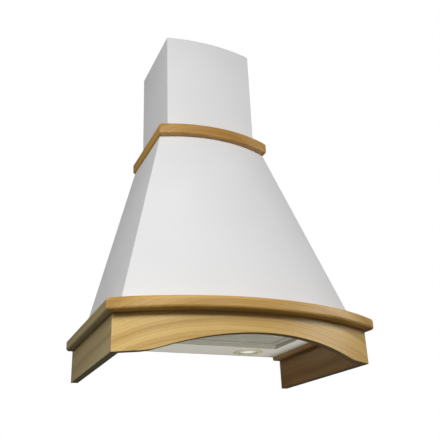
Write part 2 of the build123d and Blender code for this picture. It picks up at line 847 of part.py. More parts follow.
with BuildPart() as filter_latch:
    with BuildSketch(Plane.XY.offset(latch_bottom)):
        with Locations((0, (latch_front + latch_rear) / 2)):
            Rectangle(latch_width, latch_length)
    extrude(amount=latch_thickness)
    with BuildSketch(Plane.XY.offset(latch_bottom)):
        with Locations((0, grip_front + latch_grip_thickness / 2)):
            Rectangle(latch_window_width - 4 * fit, latch_grip_thickness)
    extrude(amount=filter_bottom + fit - latch_bottom)
    nose = filter_latch.edges().filter_by(Axis.X).group_by(Axis.Y)[0].sort_by(Axis.Z)[:1]
    chamfer(nose, length=latch_thickness / 2)
filter_latch.part.label = "filter_latch"
export_step(filter_latch.part, "parts/filter_latch.step")

spring_foot = latch_slot_rear - spring_leaf - fit / 2
spring_crown = latch_rear + fit
with BuildPart() as latch_spring:
    with BuildSketch(Plane.XY.offset(latch_bottom)):
        with BuildLine():
            ThreePointArc(
                (-spring_chord / 2, spring_foot),
                (0, spring_crown),
                (spring_chord / 2, spring_foot),
            )
            offset(amount=spring_leaf, side=Side.LEFT)
        make_face()
    extrude(amount=latch_thickness)
latch_spring.part.label = "latch_spring"
export_step(latch_spring.part, "parts/latch_spring.step")

# ---------------------------------------------------------------------------
# Lamps: bezel, reflector bulb and holder, one set at each side of the rear strip
# ---------------------------------------------------------------------------

for side, name in ((-1, "left"), (1, "right")):
    lamp_x = side * lamp_spacing / 2
    lamp_section = Plane(
        origin=(lamp_x, -lamp_rear, pan_bottom), x_dir=(1, 0, 0), z_dir=(0, -1, 0)
    )
    lamp_axis = Axis((lamp_x, -lamp_rear, pan_bottom), (0, 0, 1))

    with BuildPart() as lamp_bezel:
        with BuildSketch(lamp_section):
            with BuildLine():
                Polyline(
                    (bezel_mouth_radius, 0),
                    (bezel_mouth_radius, -bezel_thickness / 2),
                    (bezel_face_radius, -bezel_thickness),
                    (bezel_radius - bezel_thickness, -bezel_thickness),
                    (bezel_radius, -bezel_edge),
                    (bezel_radius, 0),
                    (lamp_hole_radius - fit, 0),
                    (lamp_hole_radius - fit, lamp_sleeve_height),
                    (lamp_hole_radius - fit - sheet, lamp_sleeve_height),
                    (lamp_hole_radius - fit - sheet, 0),
                    close=True,
                )
            make_face()
        revolve(axis=lamp_axis)
    lamp_bezel.part.label = f"lamp_bezel_{name}"
    export_step(lamp_bezel.part, f"parts/lamp_bezel_{name}.step")

    with BuildPart() as lamp_bulb:
        with BuildSketch(lamp_section):
            with BuildLine():
                Polyline((0, 0), (bulb_radius, 0), (bulb_radius, bulb_rim_height))
                Polyline(
                    (bulb_radius, bulb_rim_height),
                    (bulb_neck_radius, bulb_height),
                    (bulb_neck_radius, bulb_height + bulb_cap_height),
                    (0, bulb_height + bulb_cap_height),
                    (0, 0),
                )
            make_face()
        revolve(axis=lamp_axis)
    lamp_bulb.part.label = f"lamp_bulb_{name}"
    export_step(lamp_bulb.part, f"parts/lamp_bulb_{name}.step")

    with BuildPart() as lamp_holder:
        with BuildSketch(Plane(origin=(lamp_x, -lamp_rear, pan_floor))):
            Circle(holder_radius)
            Circle(holder_radius - sheet, mode=Mode.SUBTRACT)
        extrude(amount=holder_height)
        with BuildSketch(Plane(origin=(lamp_x, -lamp_rear, pan_floor + holder_height))):
            Circle(holder_radius)
        extrude(amount=-sheet)
        with BuildSketch(Plane(origin=(lamp_x, -lamp_rear, pan_floor + holder_height))):
            Circle(socket_radius)
        extrude(amount=bulb_height + bulb_cap_height + fit - holder_height - sheet)
    lamp_holder.part.label = f"lamp_holder_{name}"
    export_step(lamp_holder.part, f"parts/lamp_holder_{name}.step")

# ---------------------------------------------------------------------------
# Controls: an escutcheon with two slots, the switch body above it and two slider knobs
# ---------------------------------------------------------------------------

plate_bottom = pan_bottom - control_plate_thickness
speed_slot_length = speed_travel + stem_length + 2 * fit
lamp_slot_length = lamp_travel + stem_length + 2 * fit
speed_slot_centre = speed_slot_start + speed_travel / 2
lamp_slot_centre = lamp_slot_start + lamp_travel / 2


def control_slots():
    """The two slots, side by side along the control plate."""
    with BuildSketch() as slots:
        with Locations((speed_slot_centre, 0)):
            Rectangle(speed_slot_length, slot_width)
        with Locations((lamp_slot_centre, 0)):
            Rectangle(lamp_slot_length, slot_width)
    return slots.sketch


with BuildPart() as control_plate:
    with BuildSketch(Plane(origin=(control_centre, -control_front, plate_bottom))):
        RectangleRounded(control_plate_length, control_plate_width, control_plate_width / 4)
        add(control_slots(), mode=Mode.SUBTRACT)
    extrude(amount=control_plate_thickness)
    chamfer(control_plate.faces().sort_by(Axis.Z)[0].outer_wire().edges(), length=sheet)
control_plate.part.label = "control_plate"
export_step(control_plate.part, "parts/control_plate.step")

with BuildPart() as control_switch:
    with BuildSketch(Plane(origin=(control_centre, -control_front, pan_floor))):
        Rectangle(control_body_length, control_body_width)
    extrude(amount=control_body_height)
    with BuildSketch(Plane(origin=(control_centre, -control_front, pan_floor))):
        add(control_slots())
    extrude(amount=slot_channel, mode=Mode.SUBTRACT)
control_switch.part.label = "control_switch"
export_step(control_switch.part, "parts/control_switch.step")

for name, start in (("speed_slider", speed_slot_start), ("lamp_slider", lamp_slot_start)):
    slider_x = control_centre + start
    knob_plane = Plane(origin=(slider_x, -control_front, plate_bottom - fit))
    with BuildPart() as slider:
        with BuildSketch(knob_plane):
            Rectangle(knob_length, knob_width)
        extrude(amount=-knob_height)
        rim = slider.faces().sort_by(Axis.Z)[0].edges()
        chamfer(rim, length=knob_edge)
        with BuildSketch(knob_plane.offset(-knob_height)):
            with GridLocations(groove_pitch, 1, 3, 1):
                Rectangle(groove_width, groove_length)
        extrude(amount=groove_width, mode=Mode.SUBTRACT)
        with BuildSketch(knob_plane):
            Rectangle(stem_length, stem_width)
        extrude(amount=control_plate_thickness + sheet + slot_channel)
    slider.part.label = name
    export_step(slider.part, f"parts/{name}.step")

# ---------------------------------------------------------------------------
# Blower: two scroll halves, a double-inlet drum wheel and the motor in the left inlet
# ---------------------------------------------------------------------------

inlet_radius = wheel_radius - inlet_step
blade_root_radius = wheel_radius - blade_depth
scroll_first_radius = wheel_radius + wheel_clearance
scroll_half_step = scroll_step / 2
second_radius = scroll_first_radius + scroll_step
third_radius = second_radius + scroll_step
duct_outer = scroll_half_step + third_radius
duct_inner = duct_outer - duct_depth
scroll_top = scroll_first_radius - scroll_half_step
blower_y = -duct_centre - (duct_outer + duct_inner) / 2
blower_z = dome_top - sheet - duct_rise
half_blower = blower_width / 2


def blower_plane(x):
    """Plane square to the wheel's axis, at one place along it."""
    return Plane(origin=(x, blower_y, blower_z), x_dir=(0, 1, 0), z_dir=(1, 0, 0))


def scroll_outline(grow=0.0):
    """Closed scroll and duct outline about the wheel's axis, grown outwards."""
    with BuildLine() as edges:
        CenterArc((-scroll_half_step, -scroll_half_step), scroll_first_radius + grow, 90, 90)
        CenterArc((scroll_half_step, -scroll_half_step), second_radius + grow, 180, 90)
        CenterArc((scroll_half_step, scroll_half_step), third_radius + grow, 270, 90)
        Polyline(
            (duct_outer + grow, scroll_half_step),
            (duct_outer + grow, duct_rise),
            (duct_inner - grow, duct_rise),
            (duct_inner - grow, scroll_top + tongue_radius),
        )
        CenterArc(
            (duct_inner - tongue_radius, scroll_top + tongue_radius),
            tongue_radius - grow,
            270,
            90,
        )
        Line(
            (duct_inner - tongue_radius, scroll_top + grow),
            (-scroll_half_step, scroll_top + grow),
        )
    return edges.edges()


def housing_half(side):
    """One half of the scroll housing, its side wall at -X for side -1."""
    with BuildPart() as half:
        with BuildSketch(blower_plane(0)):
            make_face(scroll_outline(blower_wall))
        extrude(amount=side * half_blower)
        with BuildSketch(blower_plane(0)):
            make_face(scroll_outline(blower_wall + joint_flange))
            with Locations(((duct_outer + duct_inner) / 2, duct_rise)):
                Rectangle(2 * duct_depth, 2 * lug_thickness, mode=Mode.SUBTRACT)
        extrude(amount=side * joint_flange_thickness)
        with BuildSketch(Plane.XY.offset(blower_z + duct_rise)):
            with Locations((side * half_blower, -duct_centre)):
                with GridLocations(1, lug_spacing, 1, 2):
                    Rectangle(2 * lug_reach, lug_width)
            for depth in (-lug_spacing / 2, lug_spacing / 2):
                with Locations((side * (half_blower + lug_reach / 2), depth - duct_centre)):
                    Circle(machine_screw_radius, mode=Mode.SUBTRACT)
        extrude(amount=-lug_thickness)
        with BuildSketch(blower_plane(side * half_blower)):
            Circle(inlet_radius + inlet_lip)
        extrude(amount=side * inlet_lip)
        with BuildSketch(blower_plane(0)):
            make_face(scroll_outline())
        extrude(amount=side * (half_blower - blower_wall), mode=Mode.SUBTRACT)
        with BuildSketch(blower_plane(0)):
            Circle(inlet_radius)
        extrude(amount=side * (half_blower + inlet_lip), mode=Mode.SUBTRACT)
    return half.part


with BuildPart() as blower_housing_left:
    add(housing_half(-1))
blower_housing_left.part.label = "blower_housing_left"
export_step(blower_housing_left.part, "parts/blower_housing_left.step")

with BuildPart() as blower_housing_right:
    add(housing_half(1))
blower_housing_right.part.label = "blower_housing_right"
export_step(blower_housing_right.part, "parts/blower_housing_right.step")

# Forward-curved blade: a thin crescent between the root circle and the wheel's rim
blade_mid_radius = (blade_root_radius + wheel_radius) / 2
with BuildSketch() as blade:
    with BuildLine():
        ThreePointArc(
            polar(blade_root_radius, 0),
            polar(blade_mid_radius, blade_mid_sweep),
            polar(wheel_radius, blade_sweep),
        )
        Line(
            polar(wheel_radius, blade_sweep),
            polar(wheel_radius, blade_sweep + blade_thickness_angle),
        )
        ThreePointArc(
            polar(wheel_radius, blade_sweep + blade_thickness_angle),
            polar(blade_mid_radius, blade_mid_sweep + blade_thickness_angle),
            polar(blade_root_radius, blade_thickness_angle),
        )
        Line(polar(blade_root_radius, blade_thickness_angle), polar(blade_root_radius, 0))
    make_face()

with BuildPart() as impeller:
    with BuildSketch(blower_plane(wheel_ring / 2 - wheel_length / 2)):
        with PolarLocations(0, blade_count):
            add(blade.sketch)
    extrude(amount=wheel_length - wheel_ring)
    for start in (-wheel_length / 2, wheel_length / 2 - wheel_ring):
        with BuildSketch(blower_plane(start)):
            Circle(wheel_radius + sheet)
            Circle(blade_root_radius - sheet, mode=Mode.SUBTRACT)
        extrude(amount=wheel_ring)
    with BuildSketch(blower_plane(-wheel_disc / 2)):
        Circle(wheel_radius + sheet)
    extrude(amount=wheel_disc)
    with BuildSketch(blower_plane(-hub_length / 2)):
        Circle(hub_radius)
    extrude(amount=hub_length)
    with BuildSketch(blower_plane(-wheel_length / 2)):
        Circle(shaft_radius)
    extrude(amount=wheel_length, mode=Mode.SUBTRACT)
impeller.part.label = "impeller"
export_step(impeller.part, "parts/impeller.step")

motor_front = motor_stack_start + motor_stack_length
boss_front = motor_front + motor_bell_length + motor_boss_length
with BuildPart() as motor:
    with BuildSketch(blower_plane(motor_stack_start - motor_bell_length)):
        Circle(motor_bell_radius)
    extrude(amount=motor_stack_length + 2 * motor_bell_length)
    chamfer(motor.edges().filter_by(GeomType.CIRCLE), length=motor_bell_length / 3)
    with BuildSketch(blower_plane(motor_stack_start)):
        Circle(motor_radius)
    extrude(amount=motor_stack_length)
    with BuildSketch(blower_plane(motor_front)):
        Circle(motor_boss_radius)
    extrude(amount=motor_bell_length + motor_boss_length)
    with BuildSketch(blower_plane(boss_front)):
        Circle(shaft_radius + running_fit)
    extrude(amount=motor_stack_start - boss_front, mode=Mode.SUBTRACT)
    with BuildSketch(blower_plane(motor_stack_start - motor_bell_length)):
        with PolarLocations(motor_vent_circle, motor_vent_count):
            SlotOverall(motor_vent_length, motor_vent_width)
    extrude(amount=motor_vent_depth, mode=Mode.SUBTRACT)
motor.part.label = "motor"
export_step(motor.part, "parts/motor.step")

with BuildPart() as motor_shaft:
    with BuildSketch(blower_plane(motor_stack_start + fit)):
        Circle(shaft_radius)
    extrude(amount=hub_length / 2 - motor_stack_start - fit)
motor_shaft.part.label = "motor_shaft"
export_step(motor_shaft.part, "parts/motor_shaft.step")

bracket_inner = inlet_radius + inlet_lip + through_hole_gap
clamp_inner = motor_radius + through_hole_gap / 2
with BuildPart() as motor_bracket:
    with BuildSketch(blower_plane(-half_blower)):
        Circle(bracket_inner + bracket_ring_width)
        Circle(bracket_inner, mode=Mode.SUBTRACT)
    extrude(amount=-inlet_lip)
    with BuildSketch(blower_plane(-half_blower - inlet_lip)):
        with PolarLocations(0, 3):
            with Locations(((clamp_inner + bracket_inner + bracket_ring_width) / 2, 0)):
                Rectangle(
                    bracket_inner + bracket_ring_width - clamp_inner - fit, bracket_arm_width
                )
        Circle(clamp_inner + motor_clamp_thickness)
    extrude(amount=-bracket_arm_thickness)
    with BuildSketch(blower_plane(-half_blower - inlet_lip)):
        Circle(clamp_inner + motor_clamp_thickness)
    extrude(amount=-motor_clamp_length)
    with BuildSketch(blower_plane(-half_blower)):
        Circle(clamp_inner)
    extrude(amount=-motor_clamp_length - inlet_lip, mode=Mode.SUBTRACT)
motor_bracket.part.label = "motor_bracket"
export_step(motor_bracket.part, "parts/motor_bracket.step")

# ---------------------------------------------------------------------------
# Outlet: a flange, and on it a tube for round duct with two flaps that fall shut on a ledge
# ---------------------------------------------------------------------------

bore_radius = spigot_radius - spigot_wall
flap_level = spigot_plane.offset(flap_height)
pin_plane = Plane.YZ.shift_origin((0, -duct_centre, dome_top + flap_height))

with BuildPart() as outlet_flange:
    with BuildSketch(spigot_plane):
        RectangleRounded(spigot_flange_width, spigot_flange_depth, spigot_flange_corner)
        Circle(bore_radius, mode=Mode.SUBTRACT)
        with Locations(*blower_screw_points):
            Circle(machine_screw_radius + through_hole_gap, mode=Mode.SUBTRACT)
    extrude(amount=spigot_flange_thickness)
outlet_flange.part.label = "outlet_flange"
export_step(outlet_flange.part, "parts/outlet_flange.step")

with BuildPart() as outlet_spigot:
    with BuildSketch(spigot_plane.offset(spigot_flange_thickness)):
        Circle(spigot_radius)
    extrude(amount=spigot_height - spigot_flange_thickness)
    with BuildSketch(spigot_plane.offset(spigot_flange_thickness)):
        Circle(spigot_foot_radius)
    extrude(amount=spigot_foot_thickness)
    with BuildSketch(spigot_plane):
        Circle(bore_radius)
    extrude(amount=spigot_height, mode=Mode.SUBTRACT)
    with BuildSketch(flap_level.offset(-flap_thickness / 2 - flap_seat_gap)):
        Circle(bore_radius + sheet)
        Circle(bore_radius - flap_seat_width, mode=Mode.SUBTRACT)
    extrude(amount=-flap_seat_thickness)
    with BuildSketch(pin_plane):
        Circle(pin_radius + running_fit)
    extrude(amount=spigot_radius, both=True, mode=Mode.SUBTRACT)
outlet_spigot.part.label = "outlet_spigot"
export_step(outlet_spigot.part, "parts/outlet_spigot.step")

with BuildPart() as damper_pin:
    with BuildSketch(pin_plane):
        Circle(pin_radius)
    extrude(amount=spigot_radius - fit, both=True)
damper_pin.part.label = "damper_pin"
export_step(damper_pin.part, "parts/damper_pin.step")

flap_radius = bore_radius - flap_edge_gap
flap_start = knuckle_radius + knuckle_gap
for name, facing, knuckle_starts in (
    ("damper_flap_front", -1, (-2, 0)),
    ("damper_flap_rear", 1, (-1, 1)),
):
    with BuildPart() as flap:
        with BuildSketch(flap_level.offset(-flap_thickness / 2)):
            Circle(flap_radius)
            with Locations((0, facing * (flap_start - flap_radius))):
                Rectangle(2 * flap_radius, 2 * flap_radius, mode=Mode.SUBTRACT)
            for start in knuckle_starts:
                with Locations(((start + 0.5) * knuckle_length, facing * flap_start / 2)):
                    Rectangle(knuckle_length - 2 * knuckle_gap, flap_start + sheet)
        extrude(amount=flap_thickness)
        for start in knuckle_starts:
            with BuildSketch(pin_plane.offset(start * knuckle_length + knuckle_gap)):
                Circle(knuckle_radius)
            extrude(amount=knuckle_length - 2 * knuckle_gap)
        with BuildSketch(pin_plane):
            Circle(pin_radius + running_fit)
        extrude(amount=spigot_radius, both=True, mode=Mode.SUBTRACT)
    flap.part.label = name
    export_step(flap.part, f"parts/{name}.step")

with BuildPart() as blower_screws:
    with BuildSketch(spigot_plane.offset(spigot_flange_thickness)):
        with Locations(*blower_screw_points):
            RegularPolygon(screw_head_radius, 6)
    extrude(amount=screw_head_height)
    with BuildSketch(spigot_plane.offset(spigot_flange_thickness)):
        with Locations(*blower_screw_points):
            Circle(machine_screw_radius)
    extrude(amount=-spigot_flange_thickness - sheet - lug_thickness)
blower_screws.part.label = "blower_screws"
export_step(blower_screws.part, "parts/blower_screws.step")

# ---------------------------------------------------------------------------
# Electrical pieces on the back panel and the cable gland in the top plate
# ---------------------------------------------------------------------------

box_length, box_depth, box_height = terminal_box_size
with BuildPart() as terminal_box:
    with BuildSketch(Plane.XZ.offset(panel_back)):
        with Locations((terminal_box_centre, board_bottom + terminal_box_height)):
            Rectangle(box_length, box_height)
    extrude(amount=box_depth - terminal_lid_thickness)
terminal_box.part.label = "terminal_box"
export_step(terminal_box.part, "parts/terminal_box.step")

with BuildPart() as terminal_lid:
    with BuildSketch(Plane.XZ.offset(panel_back + box_depth - terminal_lid_thickness)):
        with Locations((terminal_box_centre, board_bottom + terminal_box_height)):
            Rectangle(
                box_length + 2 * terminal_lid_overlap, box_height + 2 * terminal_lid_overlap
            )
    extrude(amount=terminal_lid_thickness)
    chamfer(terminal_lid.faces().sort_by(Axis.Y)[0].edges(), length=terminal_lid_thickness / 2)
terminal_lid.part.label = "terminal_lid"
export_step(terminal_lid.part, "parts/terminal_lid.step")

capacitor_axis_y = -panel_back - capacitor_radius - clip_thickness - fit
capacitor_bottom = board_bottom + terminal_box_height - capacitor_length / 2
clip_radius = capacitor_radius + fit
with BuildPart() as capacitor:
    with BuildSketch(Plane(origin=(capacitor_centre, capacitor_axis_y, capacitor_bottom))):
        Circle(capacitor_radius)
    extrude(amount=capacitor_length)
    chamfer(capacitor.edges().filter_by(GeomType.CIRCLE), length=sheet)
capacitor.part.label = "capacitor"
export_step(capacitor.part, "parts/capacitor.step")

clip_plane = Plane(
    origin=(capacitor_centre, capacitor_axis_y, capacitor_bottom + capacitor_length / 2)
)
with BuildPart() as capacitor_clip:
    with BuildSketch(clip_plane):
        Circle(clip_radius + clip_thickness)
        with Locations((0, -capacitor_axis_y - panel_back - clip_thickness / 2)):
            Rectangle(4 * capacitor_radius, clip_thickness)
        Circle(clip_radius, mode=Mode.SUBTRACT)
        with Locations((0, -clip_radius)):
            Rectangle(capacitor_radius, capacitor_radius, mode=Mode.SUBTRACT)
    extrude(amount=clip_height)
capacitor_clip.part.label = "capacitor_clip"
export_step(capacitor_clip.part, "parts/capacitor_clip.step")

gland_section = Plane(origin=(gland_x, -gland_y, dome_top), x_dir=(1, 0, 0), z_dir=(0, -1, 0))
with BuildPart() as cable_gland:
    with BuildSketch(gland_section):
        with Locations(((gland_bore_radius + gland_radius) / 2, -sheet / 2)):
            Rectangle(gland_radius - gland_bore_radius, gland_height)
        with Locations((gland_hole_radius + gland_radius / 2, -sheet / 2)):
            Rectangle(gland_radius, sheet, mode=Mode.SUBTRACT)
    revolve(axis=Axis((gland_x, -gland_y, dome_top), (0, 0, 1)))
cable_gland.part.label = "cable_gland"
export_step(cable_gland.part, "parts/cable_gland.step")
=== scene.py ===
"""Looks of a wall-hung cooker hood: white steel dome and chimney, oak surround, grease filter and lamps."""

import logging
from dataclasses import dataclass
from enum import Enum
from functools import lru_cache
from math import cos, pi, radians, sin
from typing import Callable, Iterable, Optional

import bmesh
import bpy
from mathutils import Matrix, Vector


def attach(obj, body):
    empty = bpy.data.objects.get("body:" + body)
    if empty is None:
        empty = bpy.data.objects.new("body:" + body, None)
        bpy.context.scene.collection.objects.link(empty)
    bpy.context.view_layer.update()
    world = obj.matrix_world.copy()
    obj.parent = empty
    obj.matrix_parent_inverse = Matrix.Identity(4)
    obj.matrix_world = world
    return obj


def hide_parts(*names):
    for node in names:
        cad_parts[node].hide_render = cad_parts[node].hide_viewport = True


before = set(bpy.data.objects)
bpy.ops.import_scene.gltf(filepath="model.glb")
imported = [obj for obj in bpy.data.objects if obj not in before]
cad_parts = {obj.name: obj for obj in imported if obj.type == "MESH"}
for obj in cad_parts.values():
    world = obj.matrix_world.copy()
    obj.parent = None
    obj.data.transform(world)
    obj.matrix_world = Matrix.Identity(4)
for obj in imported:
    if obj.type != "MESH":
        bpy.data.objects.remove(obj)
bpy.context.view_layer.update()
LOG = logging.getLogger("hood")

Pair = tuple[float, float]
Point = tuple[float, float, float]
Colour = tuple[float, float, float]
Socket = bpy.types.NodeSocket
Wires = dict[str, Socket]
Effect = tuple[bpy.types.NodeTree, dict[str, object]]
Builder = Callable[[], bpy.types.NodeTree]

ORIGIN = (0.0, 0.0, 0.0)
DOWN = Vector((0.0, 0.0, -1.0))
FORWARD = Vector((0.0, -1.0, 0.0))
# In metres: what counts as touching, how far grain and crystals bend, and where the burner's glow ends.
WELD, RIPPLE_REACH, WARP_REACH = 0.00002, 0.0035, 0.006
BURNER_EDGE, GLOW_EDGE = 0.006, 0.022
# In a metre: the crystals of zinc and the bumps of stippled glass.
CRYSTALS, STIPPLES = 140.0, 420.0
# How far a ring wanders, in rings, and what the oak's darkness adds up from.
RING_WANDER, OAK_START = 1.5, -0.45
BROAD_WEIGHT, STREAK_WEIGHT, FIBRE_WEIGHT = 1.55, 0.6, 0.35


# --- Colours and node helpers ---


def tint(red: int, green: int, blue: int) -> Colour:
    """Linear colour of three screen values.

    Args:
        red: Red from 0 to 255.
        green: Green from 0 to 255.
        blue: Blue from 0 to 255.

    Returns:
        The colour in linear light.
    """

    def linear(value: int) -> float:
        """One channel in linear light."""
        share = value / 255
        return share / 12.92 if share <= 0.04045 else ((share + 0.055) / 1.055) ** 2.4

    return linear(red), linear(green), linear(blue)


@dataclass(frozen=True)
class Layer:
    """One noise: how often it changes in a metre, its finer steps, and its stretch along each axis."""

    scale: float = 1.0
    detail: float = 2.0
    rough: float = 0.5
    stretch: Point = (1.0, 1.0, 1.0)


class Texture(Enum):
    """The noises of the finishes, by what they draw."""

    SWAY = Layer(stretch=(1.3, 2.6, 2.6))
    RIPPLE = Layer(detail=1.0, stretch=(9.0, 30.0, 30.0))
    BROAD = Layer(detail=1.0, stretch=(1.1, 52.0, 1.0))
    STREAK = Layer(rough=0.55, stretch=(2.6, 210.0, 1.0))
    FIBRE = Layer(detail=3.0, rough=0.6, stretch=(9.0, 420.0, 420.0))
    VESSEL = Layer(detail=1.0, stretch=(60.0, 1500.0, 1500.0))
    PEEL = Layer(620.0, rough=0.45)
    CLOUD = Layer(6.0)
    ROLLING = Layer(detail=3.0, rough=0.6, stretch=(14.0, 1300.0, 1300.0))
    STAIN = Layer(11.0, detail=3.0, rough=0.55)
    WARP = Layer(60.0)
    SPARK = Layer(900.0, rough=0.6)
    FLOW = Layer(18.0, stretch=(1.0, 1.0, 3.0))


class Sheet:
    """A node tree under construction, in a material or in a group."""

    def __init__(self, tree: bpy.types.NodeTree) -> None:
        """Keeps the tree that nodes are added to."""
        self.tree = tree

    def add(self, kind: str, settings: Optional[dict] = None, **inputs: object) -> bpy.types.Node:
        """Adds one node.

        Args:
            kind: Blender's name of the node type.
            settings: Properties of the node itself.
            inputs: Values or sockets for its inputs, by name with _ for a space.

        Returns:
            The new node.
        """
        node = self.tree.nodes.new(kind)
        for key, value in (settings or {}).items():
            setattr(node, key, value)
        for key, value in inputs.items():
            self.feed(node.inputs[key.replace("_", " ")], value)
        return node

    def feed(self, socket: Socket, value: object) -> None:
        """Links a socket, or sets its plain value.

        Args:
            socket: The input.
            value: The output that it is linked to, or the value that it gets.
        """
        if isinstance(value, Socket):
            self.tree.links.new(value, socket)
        elif isinstance(value, tuple) and len(value) == 3 and len(socket.default_value) == 4:
            socket.default_value = (*value, 1.0)
        else:
            socket.default_value = value

    def maths(self, operation: str, first: object, second: object = 0.0, third: object = 0.0) -> Socket:
        """A Math node's output.

        Args:
            operation: Blender's name of the operation.
            first: First value or socket.
            second: Second value or socket.
            third: Third value or socket.

        Returns:
            The result's socket.
        """
        node = self.add("ShaderNodeMath", {"operation": operation})
        for socket, value in zip(node.inputs, (first, second, third)):
            self.feed(socket, value)
        return node.outputs[0]

    def vector(self, operation: str, first: object, second: object = ORIGIN, part: str = "Vector") -> Socket:
        """A Vector Math node's output.

        Args:
            operation: Blender's name of the operation.
            first: First vector or socket.
            second: Second vector or socket, or the factor of SCALE.
            part: Vector, or Value for a length or a distance.

        Returns:
            The result's socket.
        """
        node = self.add("ShaderNodeVectorMath", {"operation": operation})
        self.feed(node.inputs[0], first)
        self.feed(node.inputs[3] if operation == "SCALE" else node.inputs[1], second)
        return node.outputs[part]

    def noise(self, where: object, texture: Texture, part: str = "Fac") -> Socket:
        """A Noise Texture node's output.

        Args:
            where: Socket of the place that it is read at.
            texture: Which noise.
            part: Fac for its value, or Color for three of them.

        Returns:
            The result's socket.
        """
        layer = texture.value
        place = self.vector("MULTIPLY", where, layer.stretch)
        steps = {"Scale": layer.scale, "Detail": layer.detail, "Roughness": layer.rough}
        return self.add("ShaderNodeTexNoise", Vector=place, **steps).outputs[part]

    def swing(self, where: object, texture: Texture, reach: object) -> Socket:
        """A vector that wanders round nought by a noise."""
        wander = self.vector("SUBTRACT", self.noise(where, texture, "Color"), (0.5, 0.5, 0.5))
        return self.vector("SCALE", wander, reach)

    def span(
        self, value: object, low: float, high: float, to_low: float = 0.0, to_high: float = 1.0
    ) -> Socket:
        """A value's range moved to another range, smoothly and within its ends.

        Args:
            value: The value's socket.
            low: Start of its range.
            high: End of its range.
            to_low: What the start becomes.
            to_high: What the end becomes.

        Returns:
            The result's socket.
        """
        node = self.add("ShaderNodeMapRange", {"interpolation_type": "SMOOTHSTEP"})
        for socket, amount in zip(node.inputs, (value, low, high, to_low, to_high)):
            self.feed(socket, amount)
        return node.outputs[0]

    def blend(self, share: object, first: object, second: object, how: str = "MIX") -> Socket:
        """Two colours mixed by a share.

        Args:
            share: Share of the second one.
            first: First colour or socket.
            second: Second colour or socket.
            how: Blender's name of the way of mixing.

        Returns:
            The result's socket.
        """
        node = self.add("ShaderNodeMix", {"data_type": "RGBA", "blend_type": how})
        for place, value in ((0, share), (6, first), (7, second)):
            self.feed(node.inputs[place], value)
        return node.outputs[2]

    def shade(self, colour: object, light: object) -> Socket:
        """A colour darkened to a share of its light."""
        return self.blend(1.0, colour, light, "MULTIPLY")


def effect_group(**defaults: object) -> Callable[[Callable[[Sheet, Wires], Wires]], Builder]:
    """Turns a wiring function into one that builds its node group, once, and gives that group.

    Args:
        defaults: Default of each input after Vector, with _ for a space; a Tone is a colour.

    Returns:
        The decorator of the wiring function, whose name is the group's.
    """
    inputs = {"Vector": ORIGIN, **{key.replace("_", " "): value for key, value in defaults.items()}}

    def decorate(wire: Callable[[Sheet, Wires], Wires]) -> Builder:
        """Makes the function that builds the group.

        Args:
            wire: Function of the sheet and the inputs by name that gives the outputs by name.

        Returns:
            The function.
        """

        @lru_cache(maxsize=None)
        def build() -> bpy.types.NodeTree:
            """Builds the group.

            Returns:
                The group with its sockets and nodes.
            """
            tree = bpy.data.node_groups.new(wire.__name__, "ShaderNodeTree")
            for key, default in inputs.items():
                kind = "Color" if "Tone" in key else "Vector" if isinstance(default, tuple) else "Float"
                socket = tree.interface.new_socket(key, in_out="INPUT", socket_type=f"NodeSocket{kind}")
                socket.default_value = (*default, 1.0) if kind == "Color" else default
            source = tree.nodes.new("NodeGroupInput")
            sheet = Sheet(tree)
            results = wire(sheet, {key: source.outputs[key] for key in inputs})
            for key in results:
                kind = "Color" if key in ("Colour", "Glow") else "Float"
                tree.interface.new_socket(key, in_out="OUTPUT", socket_type=f"NodeSocket{kind}")
            target = tree.nodes.new("NodeGroupOutput")
            for key, result in results.items():
                sheet.feed(target.inputs[key], result)
            return tree

        return build

    return decorate


# --- Shared effects ---


